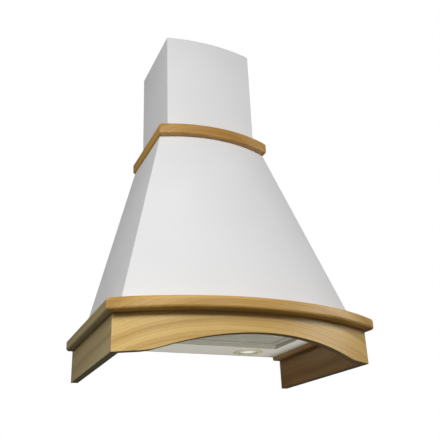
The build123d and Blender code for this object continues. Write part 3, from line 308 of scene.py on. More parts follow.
@effect_group(
    Pale_Tone=(0.7, 0.5, 0.3),
    Deep_Tone=(0.5, 0.3, 0.1),
    Pore_Tone=(0.2, 0.1, 0.05),
    Ring_Width=0.005,
    Ring_Share=0.2,
    Figure=0.012,
    Pore_Depth=0.4,
)
def long_grain(sheet: Sheet, given: Wires) -> Wires:
    """Oak cut along X: soft streaks that follow the rings of a far pith, with fibres and pores.

    Args:
        sheet: Where the nodes go.
        given: The group's inputs.

    Returns:
        The group's outputs.
    """
    place = given["Vector"]
    drift = sheet.swing(place, Texture.SWAY, given["Figure"])
    ripple = sheet.swing(place, Texture.RIPPLE, RIPPLE_REACH)
    bent = sheet.vector("ADD", sheet.vector("ADD", place, drift), ripple)
    reach = sheet.vector("LENGTH", sheet.vector("MULTIPLY", bent, (0.0, 1.0, 1.0)), part="Value")
    along = sheet.add("ShaderNodeSeparateXYZ", Vector=bent).outputs["X"]
    rings = sheet.add("ShaderNodeCombineXYZ", X=along, Y=reach).outputs["Vector"]
    broad, streak = sheet.noise(rings, Texture.BROAD), sheet.noise(rings, Texture.STREAK)
    fibre, vessel = sheet.noise(bent, Texture.FIBRE), sheet.noise(bent, Texture.VESSEL)
    turns = sheet.maths("DIVIDE", reach, given["Ring Width"])
    year = sheet.maths("FRACT", sheet.maths("MULTIPLY_ADD", broad, RING_WANDER, turns))
    late = sheet.maths("MAXIMUM", sheet.span(year, 0.0, 0.16, 1.0, 0.0), sheet.span(year, 0.3, 1.0))
    pores = sheet.maths("MULTIPLY", sheet.span(vessel, 0.56, 0.74), sheet.span(late, 0.1, 0.9, 0.4, 1.0))
    share = sheet.maths("MULTIPLY_ADD", late, given["Ring Share"], OAK_START)
    for layer, weight in ((broad, BROAD_WEIGHT), (streak, STREAK_WEIGHT), (fibre, FIBRE_WEIGHT)):
        share = sheet.maths("MULTIPLY_ADD", layer, weight, share)
    body = sheet.blend(sheet.span(share, 0.25, 1.35), given["Pale Tone"], given["Deep Tone"])
    dark = sheet.maths("MULTIPLY", pores, given["Pore Depth"])
    satin = sheet.span(fibre, 0.2, 0.8, 0.38, 0.46)
    return {
        "Colour": sheet.blend(dark, body, given["Pore Tone"]),
        "Roughness": sheet.maths("MULTIPLY_ADD", pores, 0.16, satin),
        "Height": sheet.maths("SUBTRACT", sheet.maths("MULTIPLY", fibre, 0.3), pores),
    }


@effect_group(Base_Tone=(0.8, 0.8, 0.8), Gloss_Loss=0.4)
def sprayed_skin(sheet: Sheet, given: Wires) -> Wires:
    """Sprayed enamel: a fine peel and a faint cloudiness of tone and gloss.

    Args:
        sheet: Where the nodes go.
        given: The group's inputs.

    Returns:
        The group's outputs.
    """
    cloud = sheet.noise(given["Vector"], Texture.CLOUD)
    gloss = sheet.span(cloud, 0.25, 0.75, -0.03, 0.03)
    return {
        "Colour": sheet.shade(given["Base Tone"], sheet.span(cloud, 0.3, 0.7, 0.975, 1.0)),
        "Roughness": sheet.maths("ADD", gloss, given["Gloss Loss"]),
        "Height": sheet.noise(given["Vector"], Texture.PEEL),
    }


@effect_group(Base_Tone=(0.6, 0.6, 0.6), Gloss_Loss=0.35)
def drawn_metal(sheet: Sheet, given: Wires) -> Wires:
    """Bare metal: rolling lines along X, with a slow change of tone and gloss.

    Args:
        sheet: Where the nodes go.
        given: The group's inputs.

    Returns:
        The group's outputs.
    """
    lines = sheet.noise(given["Vector"], Texture.ROLLING)
    stain = sheet.noise(given["Vector"], Texture.STAIN)
    streaked, stained = sheet.span(lines, 0.2, 0.8, 0.86, 1.0), sheet.span(stain, 0.3, 0.7, -0.06, 0.0)
    brushed, dulled = sheet.span(lines, 0.2, 0.8, -0.06, 0.06), sheet.span(stain, 0.3, 0.7, 0.0, 0.08)
    rough = sheet.maths("ADD", brushed, dulled)
    return {
        "Colour": sheet.shade(given["Base Tone"], sheet.maths("ADD", streaked, stained)),
        "Roughness": sheet.maths("ADD", rough, given["Gloss Loss"]),
        "Height": lines,
    }


@effect_group(Base_Tone=(0.6, 0.6, 0.6))
def zinc_spangle(sheet: Sheet, given: Wires) -> Wires:
    """Galvanised sheet: crystals of slightly different grey under a dull film.

    Args:
        sheet: Where the nodes go.
        given: The group's inputs.

    Returns:
        The group's outputs.
    """
    warp = sheet.noise(given["Vector"], Texture.WARP, "Color")
    place = sheet.vector("ADD", given["Vector"], sheet.vector("SCALE", warp, WARP_REACH))
    crystal = sheet.add("ShaderNodeTexVoronoi", {"feature": "F1"}, Vector=place, Scale=CRYSTALS)
    grey = sheet.add("ShaderNodeSeparateColor", Color=crystal.outputs["Color"])
    return {
        "Colour": sheet.shade(given["Base Tone"], sheet.span(grey.outputs[0], 0.0, 1.0, 0.82, 1.0)),
        "Roughness": sheet.span(grey.outputs[1], 0.0, 1.0, 0.38, 0.55),
        "Height": sheet.noise(given["Vector"], Texture.WARP),
    }


@effect_group(Base_Tone=(0.3, 0.3, 0.3), Gloss_Loss=0.5)
def moulded_skin(sheet: Sheet, given: Wires) -> Wires:
    """Moulded plastic or rubber: a fine spark-eroded texture with faint flow marks.

    Args:
        sheet: Where the nodes go.
        given: The group's inputs.

    Returns:
        The group's outputs.
    """
    spark = sheet.noise(given["Vector"], Texture.SPARK)
    flow = sheet.noise(given["Vector"], Texture.FLOW)
    rough = sheet.span(spark, 0.3, 0.7, -0.05, 0.05)
    return {
        "Colour": sheet.shade(given["Base Tone"], sheet.span(flow, 0.3, 0.7, 0.93, 1.0)),
        "Roughness": sheet.maths("ADD", rough, given["Gloss Loss"]),
        "Height": spark,
    }


@effect_group(Base_Tone=(0.8, 0.8, 0.7), Glow_Tone=(1.0, 1.0, 0.8), Burner=ORIGIN)
def stippled_glass(sheet: Sheet, given: Wires) -> Wires:
    """Stippled front glass with the glow of a burner behind it.

    Args:
        sheet: Where the nodes go.
        given: The group's inputs.

    Returns:
        The group's outputs.
    """
    place = given["Vector"]
    cells = sheet.add("ShaderNodeTexVoronoi", {"feature": "SMOOTH_F1"}, Vector=place, Scale=STIPPLES)
    stipple = cells.outputs["Distance"]
    away = sheet.vector("DISTANCE", place, given["Burner"], "Value")
    lit = sheet.span(away, BURNER_EDGE, GLOW_EDGE, 1.0, 0.28)
    grained = sheet.maths("MULTIPLY", lit, sheet.span(stipple, 0.0, 0.7, 1.0, 0.82))
    return {
        "Colour": given["Base Tone"],
        "Glow": sheet.shade(given["Glow Tone"], grained),
        "Roughness": sheet.span(stipple, 0.0, 0.7, 0.12, 0.22),
        "Height": stipple,
    }


# --- Finishes ---


class Run(Enum):
    """Way that grain or rolling lines run through a piece."""

    ACROSS = (0.0, 0.0, 0.0)
    INTO_WALL = (0.0, 0.0, pi / 2)


@dataclass(frozen=True)
class Finish:
    """A surface that any piece can wear."""

    name: str
    metallic: float = 0.0
    coat: float = 0.0
    coat_rough: float = 0.3
    strength: float = 0.0
    bump: float = 0.2
    relief: float = 0.0001
    run: Run = Run.ACROSS
    origin: Point = ORIGIN

    def effect(self) -> Effect:
        """The finish's effect group, and what its inputs get."""
        raise NotImplementedError

    def material(self) -> bpy.types.Material:
        """Builds the material, once for each finish.

        Returns:
            The material with its nodes.
        """
        ready = bpy.data.materials.get(self.name)
        if ready is not None:
            return ready
        material = bpy.data.materials.new(self.name)
        material.use_nodes = True
        material.node_tree.nodes.clear()
        sheet = Sheet(material.node_tree)
        place = sheet.add("ShaderNodeTexCoord").outputs["Object"]
        turned = sheet.add(
            "ShaderNodeMapping",
            {"vector_type": "TEXTURE"},
            Vector=place,
            Location=self.origin,
            Rotation=self.run.value,
        )
        group, inputs = self.effect()
        skin = sheet.add("ShaderNodeGroup", {"node_tree": group}, Vector=turned.outputs["Vector"], **inputs)
        surface = sheet.add(
            "ShaderNodeBsdfPrincipled",
            Base_Color=skin.outputs["Colour"],
            Roughness=skin.outputs["Roughness"],
            Metallic=self.metallic,
            Coat_Weight=self.coat,
            Coat_Roughness=self.coat_rough,
            Emission_Strength=self.strength,
        )
        if "Glow" in skin.outputs:
            sheet.feed(surface.inputs["Emission Color"], skin.outputs["Glow"])
        height = skin.outputs["Height"]
        bump = sheet.add("ShaderNodeBump", Strength=self.bump, Distance=self.relief, Height=height)
        sheet.feed(surface.inputs["Normal"], bump.outputs["Normal"])
        sheet.add("ShaderNodeOutputMaterial", Surface=surface.outputs["BSDF"])
        return material


@dataclass(frozen=True)
class Oak(Finish):
    """Oak under a thin satin lacquer, each board cut from its own place in the log."""

    pale: Colour = tint(248, 212, 132)
    deep: Colour = tint(206, 161, 84)
    pore: Colour = tint(132, 88, 36)
    ring_width: float = 0.0052
    ring_share: float = 0.12
    figure: float = 0.06
    pore_depth: float = 0.3
    coat: float = 0.18
    bump: float = 0.35
    relief: float = 0.00025

    def effect(self) -> Effect:
        """The long grain in its tones.

        Returns:
            The group, and what its inputs get.
        """
        return long_grain(), {
            "Pale_Tone": self.pale,
            "Deep_Tone": self.deep,
            "Pore_Tone": self.pore,
            "Ring_Width": self.ring_width,
            "Ring_Share": self.ring_share,
            "Figure": self.figure,
            "Pore_Depth": self.pore_depth,
        }


@dataclass(frozen=True)
class Enamel(Finish):
    """Enamel sprayed and baked on steel, with a clear top over the pigment."""

    colour: Colour = tint(236, 236, 237)
    rough: float = 0.5
    coat: float = 0.08
    coat_rough: float = 0.35
    bump: float = 0.06

    def effect(self) -> Effect:
        """The sprayed skin in its colour."""
        return sprayed_skin(), {"Base_Tone": self.colour, "Gloss_Loss": self.rough}


@dataclass(frozen=True)
class BareMetal(Finish):
    """Rolled or drawn metal with no paint."""

    colour: Colour = tint(190, 190, 188)
    rough: float = 0.34
    metallic: float = 1.0
    bump: float = 0.12

    def effect(self) -> Effect:
        """The drawn metal in its colour."""
        return drawn_metal(), {"Base_Tone": self.colour, "Gloss_Loss": self.rough}


@dataclass(frozen=True)
class ZincSheet(Finish):
    """Galvanised steel sheet."""

    colour: Colour = tint(196, 198, 200)
    metallic: float = 0.45

    def effect(self) -> Effect:
        """The spangle in its colour."""
        return zinc_spangle(), {"Base_Tone": self.colour}


@dataclass(frozen=True)
class LitGlass(Finish):
    """Front glass of a reflector lamp that is on: brightest over the burner, dimmer to the rim."""

    colour: Colour = tint(232, 232, 214)
    glow: Colour = tint(255, 255, 226)
    centre: Point = ORIGIN
    strength: float = 0.3
    bump: float = 0.5
    relief: float = 0.0006

    def effect(self) -> Effect:
        """The stippled glass with its burner."""
        tones = {"Base_Tone": self.colour, "Glow_Tone": self.glow}
        return stippled_glass(), {**tones, "Burner": self.centre}


@dataclass(frozen=True)
class Moulding(Finish):
    """Moulded plastic or rubber."""

    colour: Colour = tint(150, 152, 154)
    rough: float = 0.46

    def effect(self) -> Effect:
        """The moulded skin in its colour."""
        return moulded_skin(), {"Base_Tone": self.colour, "Gloss_Loss": self.rough}


LATCH_NYLON = Moulding("latch_nylon", colour=tint(96, 96, 92))
SCREW_STEEL = BareMetal("screw_steel")
ZINC = ZincSheet("zinc_sheet")


# --- Pieces ---


def wear(finish: Finish, *names: str) -> None:
    """Gives CAD nodes their finish.

    Args:
        finish: The finish that they wear.
        names: Names of the CAD nodes.
    """
    for name in names:
        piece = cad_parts[name]
        piece.data.materials.clear()
        piece.data.materials.append(finish.material())
        LOG.info("%s wears %s", name, finish.name)


class Bench:
    """One new piece, modelled step by step with the editing tools."""

    def __init__(self, name: str, kind: str, **settings: object) -> None:
        """Starts from a primitive.

        Args:
            name: Name of the piece.
            kind: Blender's name of the primitive.
            settings: The primitive's size and place.
        """
        bpy.ops.object.select_all(action="DESELECT")
        getattr(bpy.ops.mesh, f"primitive_{kind}_add")(**settings)
        self.name = name
        self.piece = bpy.context.active_object
        bpy.ops.object.transform_apply(location=True, rotation=True, scale=True)

    def pick(self, rule: Callable[[Vector, Vector], bool]) -> None:
        """Opens the mesh and selects the faces that a rule takes.

        Args:
            rule: Function of a face's centre and normal that says whether it is taken.
        """
        bpy.ops.object.mode_set(mode="EDIT")
        bpy.ops.mesh.select_mode(type="FACE")
        bpy.ops.mesh.select_all(action="DESELECT")
        mesh = bmesh.from_edit_mesh(self.piece.data)
        for face in mesh.faces:
            face.select_set(rule(face.calc_center_median(), face.normal))
        bmesh.update_edit_mesh(self.piece.data)

    def pick_facing(self, way: Vector, least: float = 0.9) -> None:
        """Selects the faces that look one way, to the least cosine of their angle with it."""
        self.pick(lambda centre, normal: normal.dot(way) > least)

    def pick_all(self) -> None:
        """Opens the mesh and selects all of it."""
        bpy.ops.object.mode_set(mode="EDIT")
        bpy.ops.mesh.select_mode(type="VERT")
        bpy.ops.mesh.select_all(action="SELECT")

    def close(self) -> None:
        """Goes back to the object."""
        bpy.ops.object.mode_set(mode="OBJECT")

    def push(self, way: Iterable[float]) -> None:
        """Extrudes what is selected along a way in metres."""
        bpy.ops.mesh.extrude_region_move(TRANSFORM_OT_translate={"value": tuple(way)})

    def sink_head(self, way: Vector, edge: float, rim: float, depth: float) -> None:
        """Rounds the front edge of a head and sinks its middle.

        Args:
            way: Where the head looks.
            edge: Size of the rounded edge in metres.
            rim: Width of the rim that stays.
            depth: Depth of the hollow.
        """
        self.pick_facing(way)
        bpy.ops.mesh.bevel(offset=edge, segments=3)
        self.pick_facing(way, 0.99)
        bpy.ops.mesh.inset(thickness=rim)
        self.push(way * -depth)

    def turn_profile(self, profile: Iterable[Pair], foot: Point, steps: int) -> None:
        """Merges the mesh to one point, draws a line from it and spins that round an upright axis.

        Args:
            profile: Radius, and height above the foot, of each point in metres.
            foot: Foot of the axis.
            steps: Number of steps round.
        """
        self.pick_all()
        bpy.ops.mesh.merge(type="CENTER")
        here = Vector(ORIGIN)
        for count, (radius, height) in enumerate(profile):
            target = Vector((foot[0] + radius, foot[1], foot[2] + height))
            if count:
                bpy.ops.mesh.extrude_vertices_move(TRANSFORM_OT_translate={"value": target - here})
            else:
                bpy.ops.transform.translate(value=target)
            here = target
        bpy.ops.mesh.select_all(action="SELECT")
        bpy.ops.mesh.spin(steps=steps, angle=2 * pi, center=(*foot[:2], 0.0), axis=(0.0, 0.0, 1.0))
        self.close()

    def repeat(self, count: int, step: Point) -> None:
        """Repeats the mesh in a row and joins what touches.

        Args:
            count: How many there are then.
            step: Way from each to the next.
        """
        self.close()
        row = self.piece.modifiers.new("row", "ARRAY")
        row.count, row.constant_offset_displace = count, step
        row.use_relative_offset, row.use_constant_offset = False, True
        row.use_merge_vertices, row.merge_threshold = True, WELD
        bpy.ops.object.modifier_apply(modifier=row.name)

    def cut(self, point: Point, outward: Point, clear: bool = True) -> None:
        """Cuts the mesh along a plane.

        Args:
            point: Any point of the plane.
            outward: Way that the plane faces.
            clear: Whether what lies beyond it goes.
        """
        self.pick_all()
        bpy.ops.mesh.bisect(plane_co=point, plane_no=outward, clear_outer=clear)
        self.close()

    def notch(self, half_width: float, rear: float) -> None:
        """Cuts a middle piece out of the front edge.

        Args:
            half_width: Half of the notch's width.
            rear: Where the notch ends.
        """
        self.cut((0.0, rear, 0.0), (0.0, 1.0, 0.0), clear=False)
        for x in (-half_width, half_width):
            self.cut((x, 0.0, 0.0), (1.0, 0.0, 0.0), clear=False)
        self.pick(lambda centre, normal: abs(centre.x) < half_width and centre.y < rear)
        bpy.ops.mesh.delete(type="FACE")
        self.close()

    def gather(self, others: Iterable[bpy.types.Object]) -> None:
        """Joins other objects to the piece.

        Args:
            others: The objects.
        """
        bpy.ops.object.select_all(action="DESELECT")
        for piece in (*others, self.piece):
            piece.select_set(True)
        bpy.context.view_layer.objects.active = self.piece
        bpy.ops.object.join()

    def scatter(self, offsets: Iterable[Point]) -> None:
        """Copies the mesh to other places and joins the copies to it.

        Args:
            offsets: Way from the first one to each copy, in metres.
        """
        self.close()
        copies = []
        for offset in offsets:
            bpy.ops.object.select_all(action="DESELECT")
            self.piece.select_set(True)
            bpy.context.view_layer.objects.active = self.piece
            bpy.ops.object.duplicate(linked=False)
            bpy.ops.transform.translate(value=offset)
            copies.append(bpy.context.active_object)
        self.gather(copies)
        bpy.ops.object.transform_apply(location=True, rotation=True, scale=True)

    def finish(self, finish: Finish, body: str, slot: str, smooth_below: float = 35.0) -> bpy.types.Object:
        """Cleans the mesh, shades it and gives it its finish and body.

        Args:
            finish: What the piece wears.
            body: Name of the body that it moves with.
            slot: The record's material slot that it belongs to; not used.
            smooth_below: Angle in degrees below which faces shade as one.

        Returns:
            The finished piece.
        """
        self.pick_all()
        bpy.ops.mesh.remove_doubles(threshold=WELD)
        bpy.ops.mesh.delete_loose()
        bpy.ops.mesh.select_all(action="SELECT")
        bpy.ops.mesh.normals_make_consistent(inside=False)
        self.close()
        bpy.ops.object.shade_smooth_by_angle(angle=radians(smooth_below))
        self.piece.name = self.piece.data.name = self.name
        self.piece.data.materials.clear()
        self.piece.data.materials.append(finish.material())
        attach(self.piece, body)
        LOG.info("%s modelled, %d faces, on %s", self.name, len(self.piece.data.polygons), body)
        return self.piece


class SubAssembly:
    """A group of pieces that is built and dressed together."""

    def build(self) -> None:
        """Models the pieces that the CAD model leaves to looks."""

    def dress(self) -> None:
        """Gives every CAD node of the group its finish."""
        raise NotImplementedError


@dataclass
class OakSurround(SubAssembly):
    """Thick bowed rail over thin boards with an arched front."""

    front_pith: Point = (0.0, -0.560, -0.720)
    rail_pith: Point = (0.0, -0.600, -0.560)
    left_pith: Point = (-0.40, -0.2, -0.55)
    right_pith: Point = (0.42, -0.2, -0.33)
    rail_rise: float = 0.31

    def dress(self) -> None:
        """Cuts every board from its own place in the log; the right board and rail also get a darker tone
        that holds painted shade.
        """
        wear(Oak("oak_valance", origin=self.front_pith), "valance_front")
        rail_tones = {"pale": tint(230, 188, 106), "deep": tint(186, 140, 66)}
        wear(Oak("oak_rail_front", origin=self.rail_pith, **rail_tones), "rail_front")
        greyer = {"pale": tint(198, 180, 131), "deep": tint(166, 144, 97), "ring_share": 0.1}
        # Right board and rail: a browner tone that is partly the oak's own colour and partly painted shade of
        # the hood's dim inside, where their inner faces show.
        browner_with_painted_shade = {"pale": tint(200, 158, 98), "deep": tint(152, 110, 58)}
        for side, pith, tones in (("left", self.left_pith, greyer), ("right", self.right_pith, browner_with_painted_shade)):
            wear(Oak(f"oak_board_{side}", origin=pith, run=Run.INTO_WALL, **tones), f"side_board_{side}")
            higher = (pith[0], pith[1], pith[2] + self.rail_rise)
            wear(Oak(f"oak_rail_{side}", origin=higher, run=Run.INTO_WALL, **tones), f"rail_{side}")
        beech = Oak("beech_blocks", pale=tint(226, 196, 150), deep=tint(196, 158, 108), pore_depth=0.15)
        wear(beech, "glue_blocks", "surround_dowels")
        wear(SCREW_STEEL, "surround_screws")


@dataclass
class OakCollar(SubAssembly):
    """Three oak bars round the foot of the chimney."""

    front_pith: Point = (-0.2, -0.42, 0.02)
    side_pith: Point = (0.3, -0.1, 0.05)

    def dress(self) -> None:
        """Cuts the bars from a darker board."""
        tones = {"pale": tint(202, 158, 80), "deep": tint(162, 114, 42)}
        wear(Oak("oak_collar_front", origin=self.front_pith, **tones), "collar_front")
        side = Oak("oak_collar_side", origin=self.side_pith, run=Run.INTO_WALL, **tones)
        wear(side, "collar_left", "collar_right")
        wear(SCREW_STEEL, "collar_screws")


@dataclass
class SteelBody(SubAssembly):
    """White dome and chimney, with the sheets that close and hang them."""

    def dress(self) -> None:
        """Sprays what shows and leaves the rest in zinc."""
        wear(Enamel("white_paint"), "dome_shell", "chimney_lower", "chimney_upper")
        wear(ZINC, "back_panel", "top_plate", "chimney_bracket")
        wear(Enamel("pan_paint", colour=tint(214, 210, 198), rough=0.42), "base_pan")


@dataclass
class GreaseFilter(SubAssembly):
    """Drop-down filter: folded frame, mesh between two expanded sheets, and its latch."""

    opening_half: float = 0.1872
    opening_front: float = -0.3028
    opening_rear: float = -0.1162
    mesh_low: float = -0.3483
    mesh_high: float = -0.3427
    cell: Pair = (0.012, 0.006)
    spare_cells: int = 3
    strand: float = 0.0007
    strand_thickness: float = 0.0005
    sheet_gap: float = 0.0001
    block_half: float = 0.0203
    block_rear: float = -0.2847
    frame_low: float = -0.350
    rivet_radius: float = 0.003
    rivet_height: float = 0.001
    rivet_edge: float = 0.0007
    rivet_rim: float = 0.00105
    rivet_dimple: float = 0.0005
    rivet_x: Pair = (-0.1955, 0.1955)
    rivet_y: Point = (-0.3110, -0.2095, -0.1080)
    grip_low: float = -0.3497
    grip_y: float = -0.3054
    rib_count: int = 6
    rib_pitch: float = 0.003
    rib_size: Point = (0.0014, 0.0034, 0.0005)
    rib_edge: float = 0.0004

    def lattice(self, name: str, level: float, way: float) -> None:
        """Expanded sheet: one diamond repeated, trimmed to the frame's opening and given its thickness.

        Args:
            name: Name of the piece.
            level: Height of the face that it lies on.
            way: -1 where it lies under that face, 1 where it lies on it.
        """
        length, width = self.cell
        columns = int(2 * self.opening_half / length) + self.spare_cells
        rows = int((self.opening_rear - self.opening_front) / width) + self.spare_cells
        corner = (-columns * length / 2, self.opening_front - width, level + way * self.sheet_gap)
        bench = Bench(name, "circle", vertices=4, radius=length / 2, fill_type="NGON", location=corner)
        bench.pick_all()
        bpy.ops.transform.resize(value=(1.0, width / length, 1.0), center_override=corner)
        bench.pick(lambda centre, normal: True)
        bpy.ops.mesh.inset(thickness=self.strand)
        bpy.ops.mesh.delete(type="FACE")
        bench.repeat(2, (length / 2, width / 2, 0.0))
        bench.repeat(columns, (length, 0.0, 0.0))
        bench.repeat(rows, (0.0, width, 0.0))
        for side in (-1.0, 1.0):
            bench.cut((side * self.opening_half, 0.0, 0.0), (side, 0.0, 0.0))
        bench.cut((0.0, self.opening_front, 0.0), (0.0, -1.0, 0.0))
        bench.cut((0.0, self.opening_rear, 0.0), (0.0, 1.0, 0.0))
        bench.notch(self.block_half, self.block_rear)
        bench.pick_all()
        bench.push((0.0, 0.0, way * self.strand_thickness))
        metal = BareMetal("expanded_sheet", colour=tint(212, 210, 194), rough=0.45, metallic=0.3)
        bench.finish(metal, "filter", "filter_aluminium", smooth_below=20.0)

    def rivets(self) -> None:
        """Models the flat rivets of the frame, each with its dimple."""
        first = (self.rivet_x[0], self.rivet_y[0])
        middle = (*first, self.frame_low - self.rivet_height / 2)
        size = {"radius": self.rivet_radius, "depth": self.rivet_height}
        bench = Bench("filter_rivets", "cylinder", vertices=20, location=middle, **size)
        bench.sink_head(DOWN, self.rivet_edge, self.rivet_rim, self.rivet_dimple)
        places = [(x - first[0], y - first[1], 0.0) for x in self.rivet_x for y in self.rivet_y]
        bench.scatter(places[1:])
        metal = BareMetal("rivet_metal", colour=tint(186, 186, 180), rough=0.3)
        bench.finish(metal, "filter", "filter_aluminium")

    def grip_ribs(self) -> None:
        """Models the ribs under the latch's finger bar."""
        start = -(self.rib_count - 1) * self.rib_pitch / 2
        first = (start, self.grip_y, self.grip_low - self.rib_size[2] / 2)
        bench = Bench("latch_ribs", "cube", size=1.0, location=first, scale=self.rib_size)
        bench.pick_facing(DOWN)
        bpy.ops.mesh.bevel(offset=self.rib_edge, segments=2)
        bench.scatter([(count * self.rib_pitch, 0.0, 0.0) for count in range(1, self.rib_count)])
        bench.finish(LATCH_NYLON, "latch", "latch_plastic")

    def build(self) -> None:
        """Models the expanded sheets, the rivets and the latch's ribs."""
        self.lattice("filter_sheet_under", self.mesh_low, -1.0)
        self.lattice("filter_sheet_above", self.mesh_high, 1.0)
        self.rivets()
        self.grip_ribs()

    def dress(self) -> None:
        """Gives the frame, the mesh, the latch and its spring their finishes."""
        folded = BareMetal("filter_frame_metal", colour=tint(178, 176, 160), rough=0.5, metallic=0.3)
        wear(folded, "filter_frame")
        knitted = BareMetal("filter_mesh_metal", colour=tint(176, 175, 162), rough=0.5, metallic=0.5)
        wear(knitted, "filter_mesh")
        wear(LATCH_NYLON, "filter_latch")
        wear(BareMetal("spring_steel"), "latch_spring")


@dataclass
class Lamps(SubAssembly):
    """Two reflector lamps in their bezels."""

    spacing: float = 0.303
    depth: float = -0.048
    front: float = -0.359
    steps: int = 48
    speck: float = 0.001
    lens_profile: tuple[Pair, ...] = (
        (0.0, 0.0002), (0.010, 0.0003), (0.018, 0.0006), (0.0226, 0.0013),
        (0.0226, 0.0024), (0.018, 0.0018), (0.010, 0.0015), (0.0, 0.0014),
    )
    reflector_profile: tuple[Pair, ...] = (
        (0.0, 0.0300), (0.0060, 0.0290), (0.0120, 0.0250), (0.0165, 0.0190),
        (0.0200, 0.0120), (0.0224, 0.0050), (0.0229, 0.0040), (0.0229, 0.0003),
        (0.0236, 0.0001), (0.0246, 0.0003), (0.0249, 0.0010), (0.0249, 0.0042),
        (0.0240, 0.0050), (0.0228, 0.0095), (0.0204, 0.0160), (0.0170, 0.0225),
        (0.0130, 0.0285), (0.0094, 0.0330), (0.0082, 0.0350), (0.0078, 0.0385),
        (0.0078, 0.0440), (0.0070, 0.0448), (0.0, 0.0448),
    )

    def build(self) -> None:
        """Models each lamp's front glass and its reflector, in place of the plain cone."""
        aluminium = BareMetal("reflector_aluminium", colour=tint(214, 214, 210), rough=0.2)
        for side, x in (("left", -self.spacing / 2), ("right", self.spacing / 2)):
            foot = (x, self.depth, self.front)
            lens = Bench(f"lamp_front_glass_{side}", "plane", size=self.speck)
            lens.turn_profile(self.lens_profile, foot, self.steps)
            lens.finish(LitGlass(f"lit_glass_{side}", centre=foot), "hood", "lamp_glass")
            bowl = Bench(f"lamp_reflector_{side}", "plane", size=self.speck)
            bowl.turn_profile(self.reflector_profile, foot, self.steps)
            shell = bowl.finish(aluminium, "hood", "bright_steel")
            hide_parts(f"lamp_bulb_{side}")

    def dress(self) -> None:
        """Gives the rings, the plain bulbs and the cans their finishes."""
        nickel = BareMetal("bezel_nickel", colour=tint(216, 210, 184), rough=0.4, metallic=0.2)
        wear(nickel, "lamp_bezel_left", "lamp_bezel_right")
        wear(Moulding("lamp_ceramic", colour=tint(232, 230, 222)), "lamp_bulb_left", "lamp_bulb_right")
        wear(ZINC, "lamp_holder_left", "lamp_holder_right")


@dataclass
class Controls(SubAssembly):
    """Plate with two sliders behind the front board."""

    plate_low: float = -0.361
    mark_y: float = -0.3555
    mark_height: float = 0.0003
    mark_width: float = 0.0009
    mark_edge: float = 0.00018
    speed_marks: tuple[float, ...] = (0.080, 0.088, 0.096, 0.104)
    first_length: float = 0.0016
    longer_by: float = 0.0011
    lamp_mark_x: float = 0.146
    lamp_ring: float = 0.0014
    ray_length: float = 0.0011
    ray_away: float = 0.00266
    ray_step: int = 60

    def bar(self, name: str, x: float, y: float, length: float) -> Bench:
        """One raised bar with soft edges, pointing along Y.

        Args:
            name: Name of the piece.
            x: Place across the hood.
            y: Place of its middle.
            length: Its length in metres.

        Returns:
            The bench with the bar on it.
        """
        middle = (x, y, self.plate_low - self.mark_height / 2)
        size = (self.mark_width, length, self.mark_height)
        bench = Bench(name, "cube", size=1.0, location=middle, scale=size)
        bench.pick_facing(DOWN)
        bpy.ops.mesh.bevel(offset=self.mark_edge, segments=2)
        bench.close()
        return bench

    def build(self) -> None:
        """Models the four growing speed marks, and the lamp mark as a ring with rays."""
        ink = Moulding("mark_ink", colour=tint(70, 70, 68))
        for count, x in enumerate(self.speed_marks):
            mark = self.bar(f"speed_mark_{count}", x, self.mark_y, self.first_length + self.longer_by * count)
            mark.finish(ink, "hood", "dark_plastic")
        middle = (self.lamp_mark_x, self.mark_y, self.plate_low)
        size = {"major_radius": self.lamp_ring, "minor_radius": self.mark_height}
        ring = Bench("lamp_mark", "torus", location=middle, major_segments=24, minor_segments=8, **size)
        ring.pick_all()
        bpy.ops.mesh.bisect(plane_co=middle, plane_no=(0.0, 0.0, 1.0), clear_outer=True)
        bpy.ops.mesh.bridge_edge_loops()
        ring.close()
        rays = []
        for turn in range(0, 360, self.ray_step):
            ray = self.bar(f"lamp_ray_{turn}", self.lamp_mark_x, self.mark_y + self.ray_away, self.ray_length)
            ray.pick_all()
            bpy.ops.transform.rotate(value=radians(turn), orient_axis="Z", center_override=middle)
            ray.close()
            rays.append(ray.piece)
        ring.gather(rays)
        ring.finish(ink, "hood", "dark_plastic")

    def dress(self) -> None:
        """Gives the plate, the switch and the knobs their finishes."""
        wear(Moulding("control_plate_plastic", colour=tint(214, 212, 204)), "control_plate")
        wear(Moulding("switch_plastic", colour=tint(44, 44, 46)), "control_switch")
        knobs = Moulding("slider_plastic", colour=tint(226, 226, 222), rough=0.3)
        wear(knobs, "speed_slider", "lamp_slider")


@dataclass
class Blower(SubAssembly):
    """Scroll housing, drum wheel and motor, with the outlet above them."""

    def dress(self) -> None:
        """Gives the plastics and metals of the air path their finishes."""
        grey = Moulding("housing_plastic", colour=tint(150, 152, 154))
        wear(grey, "blower_housing_left", "blower_housing_right", "outlet_spigot", "outlet_flange")
        dark = Moulding("wheel_plastic", colour=tint(44, 45, 48))
        wear(dark, "impeller", "damper_flap_front", "damper_flap_rear")
        wear(Enamel("motor_lacquer", colour=tint(70, 72, 76), rough=0.45), "motor")
        wear(BareMetal("shaft_steel"), "motor_shaft")
        wear(ZINC, "motor_bracket")
        wear(SCREW_STEEL, "blower_screws", "damper_pin")


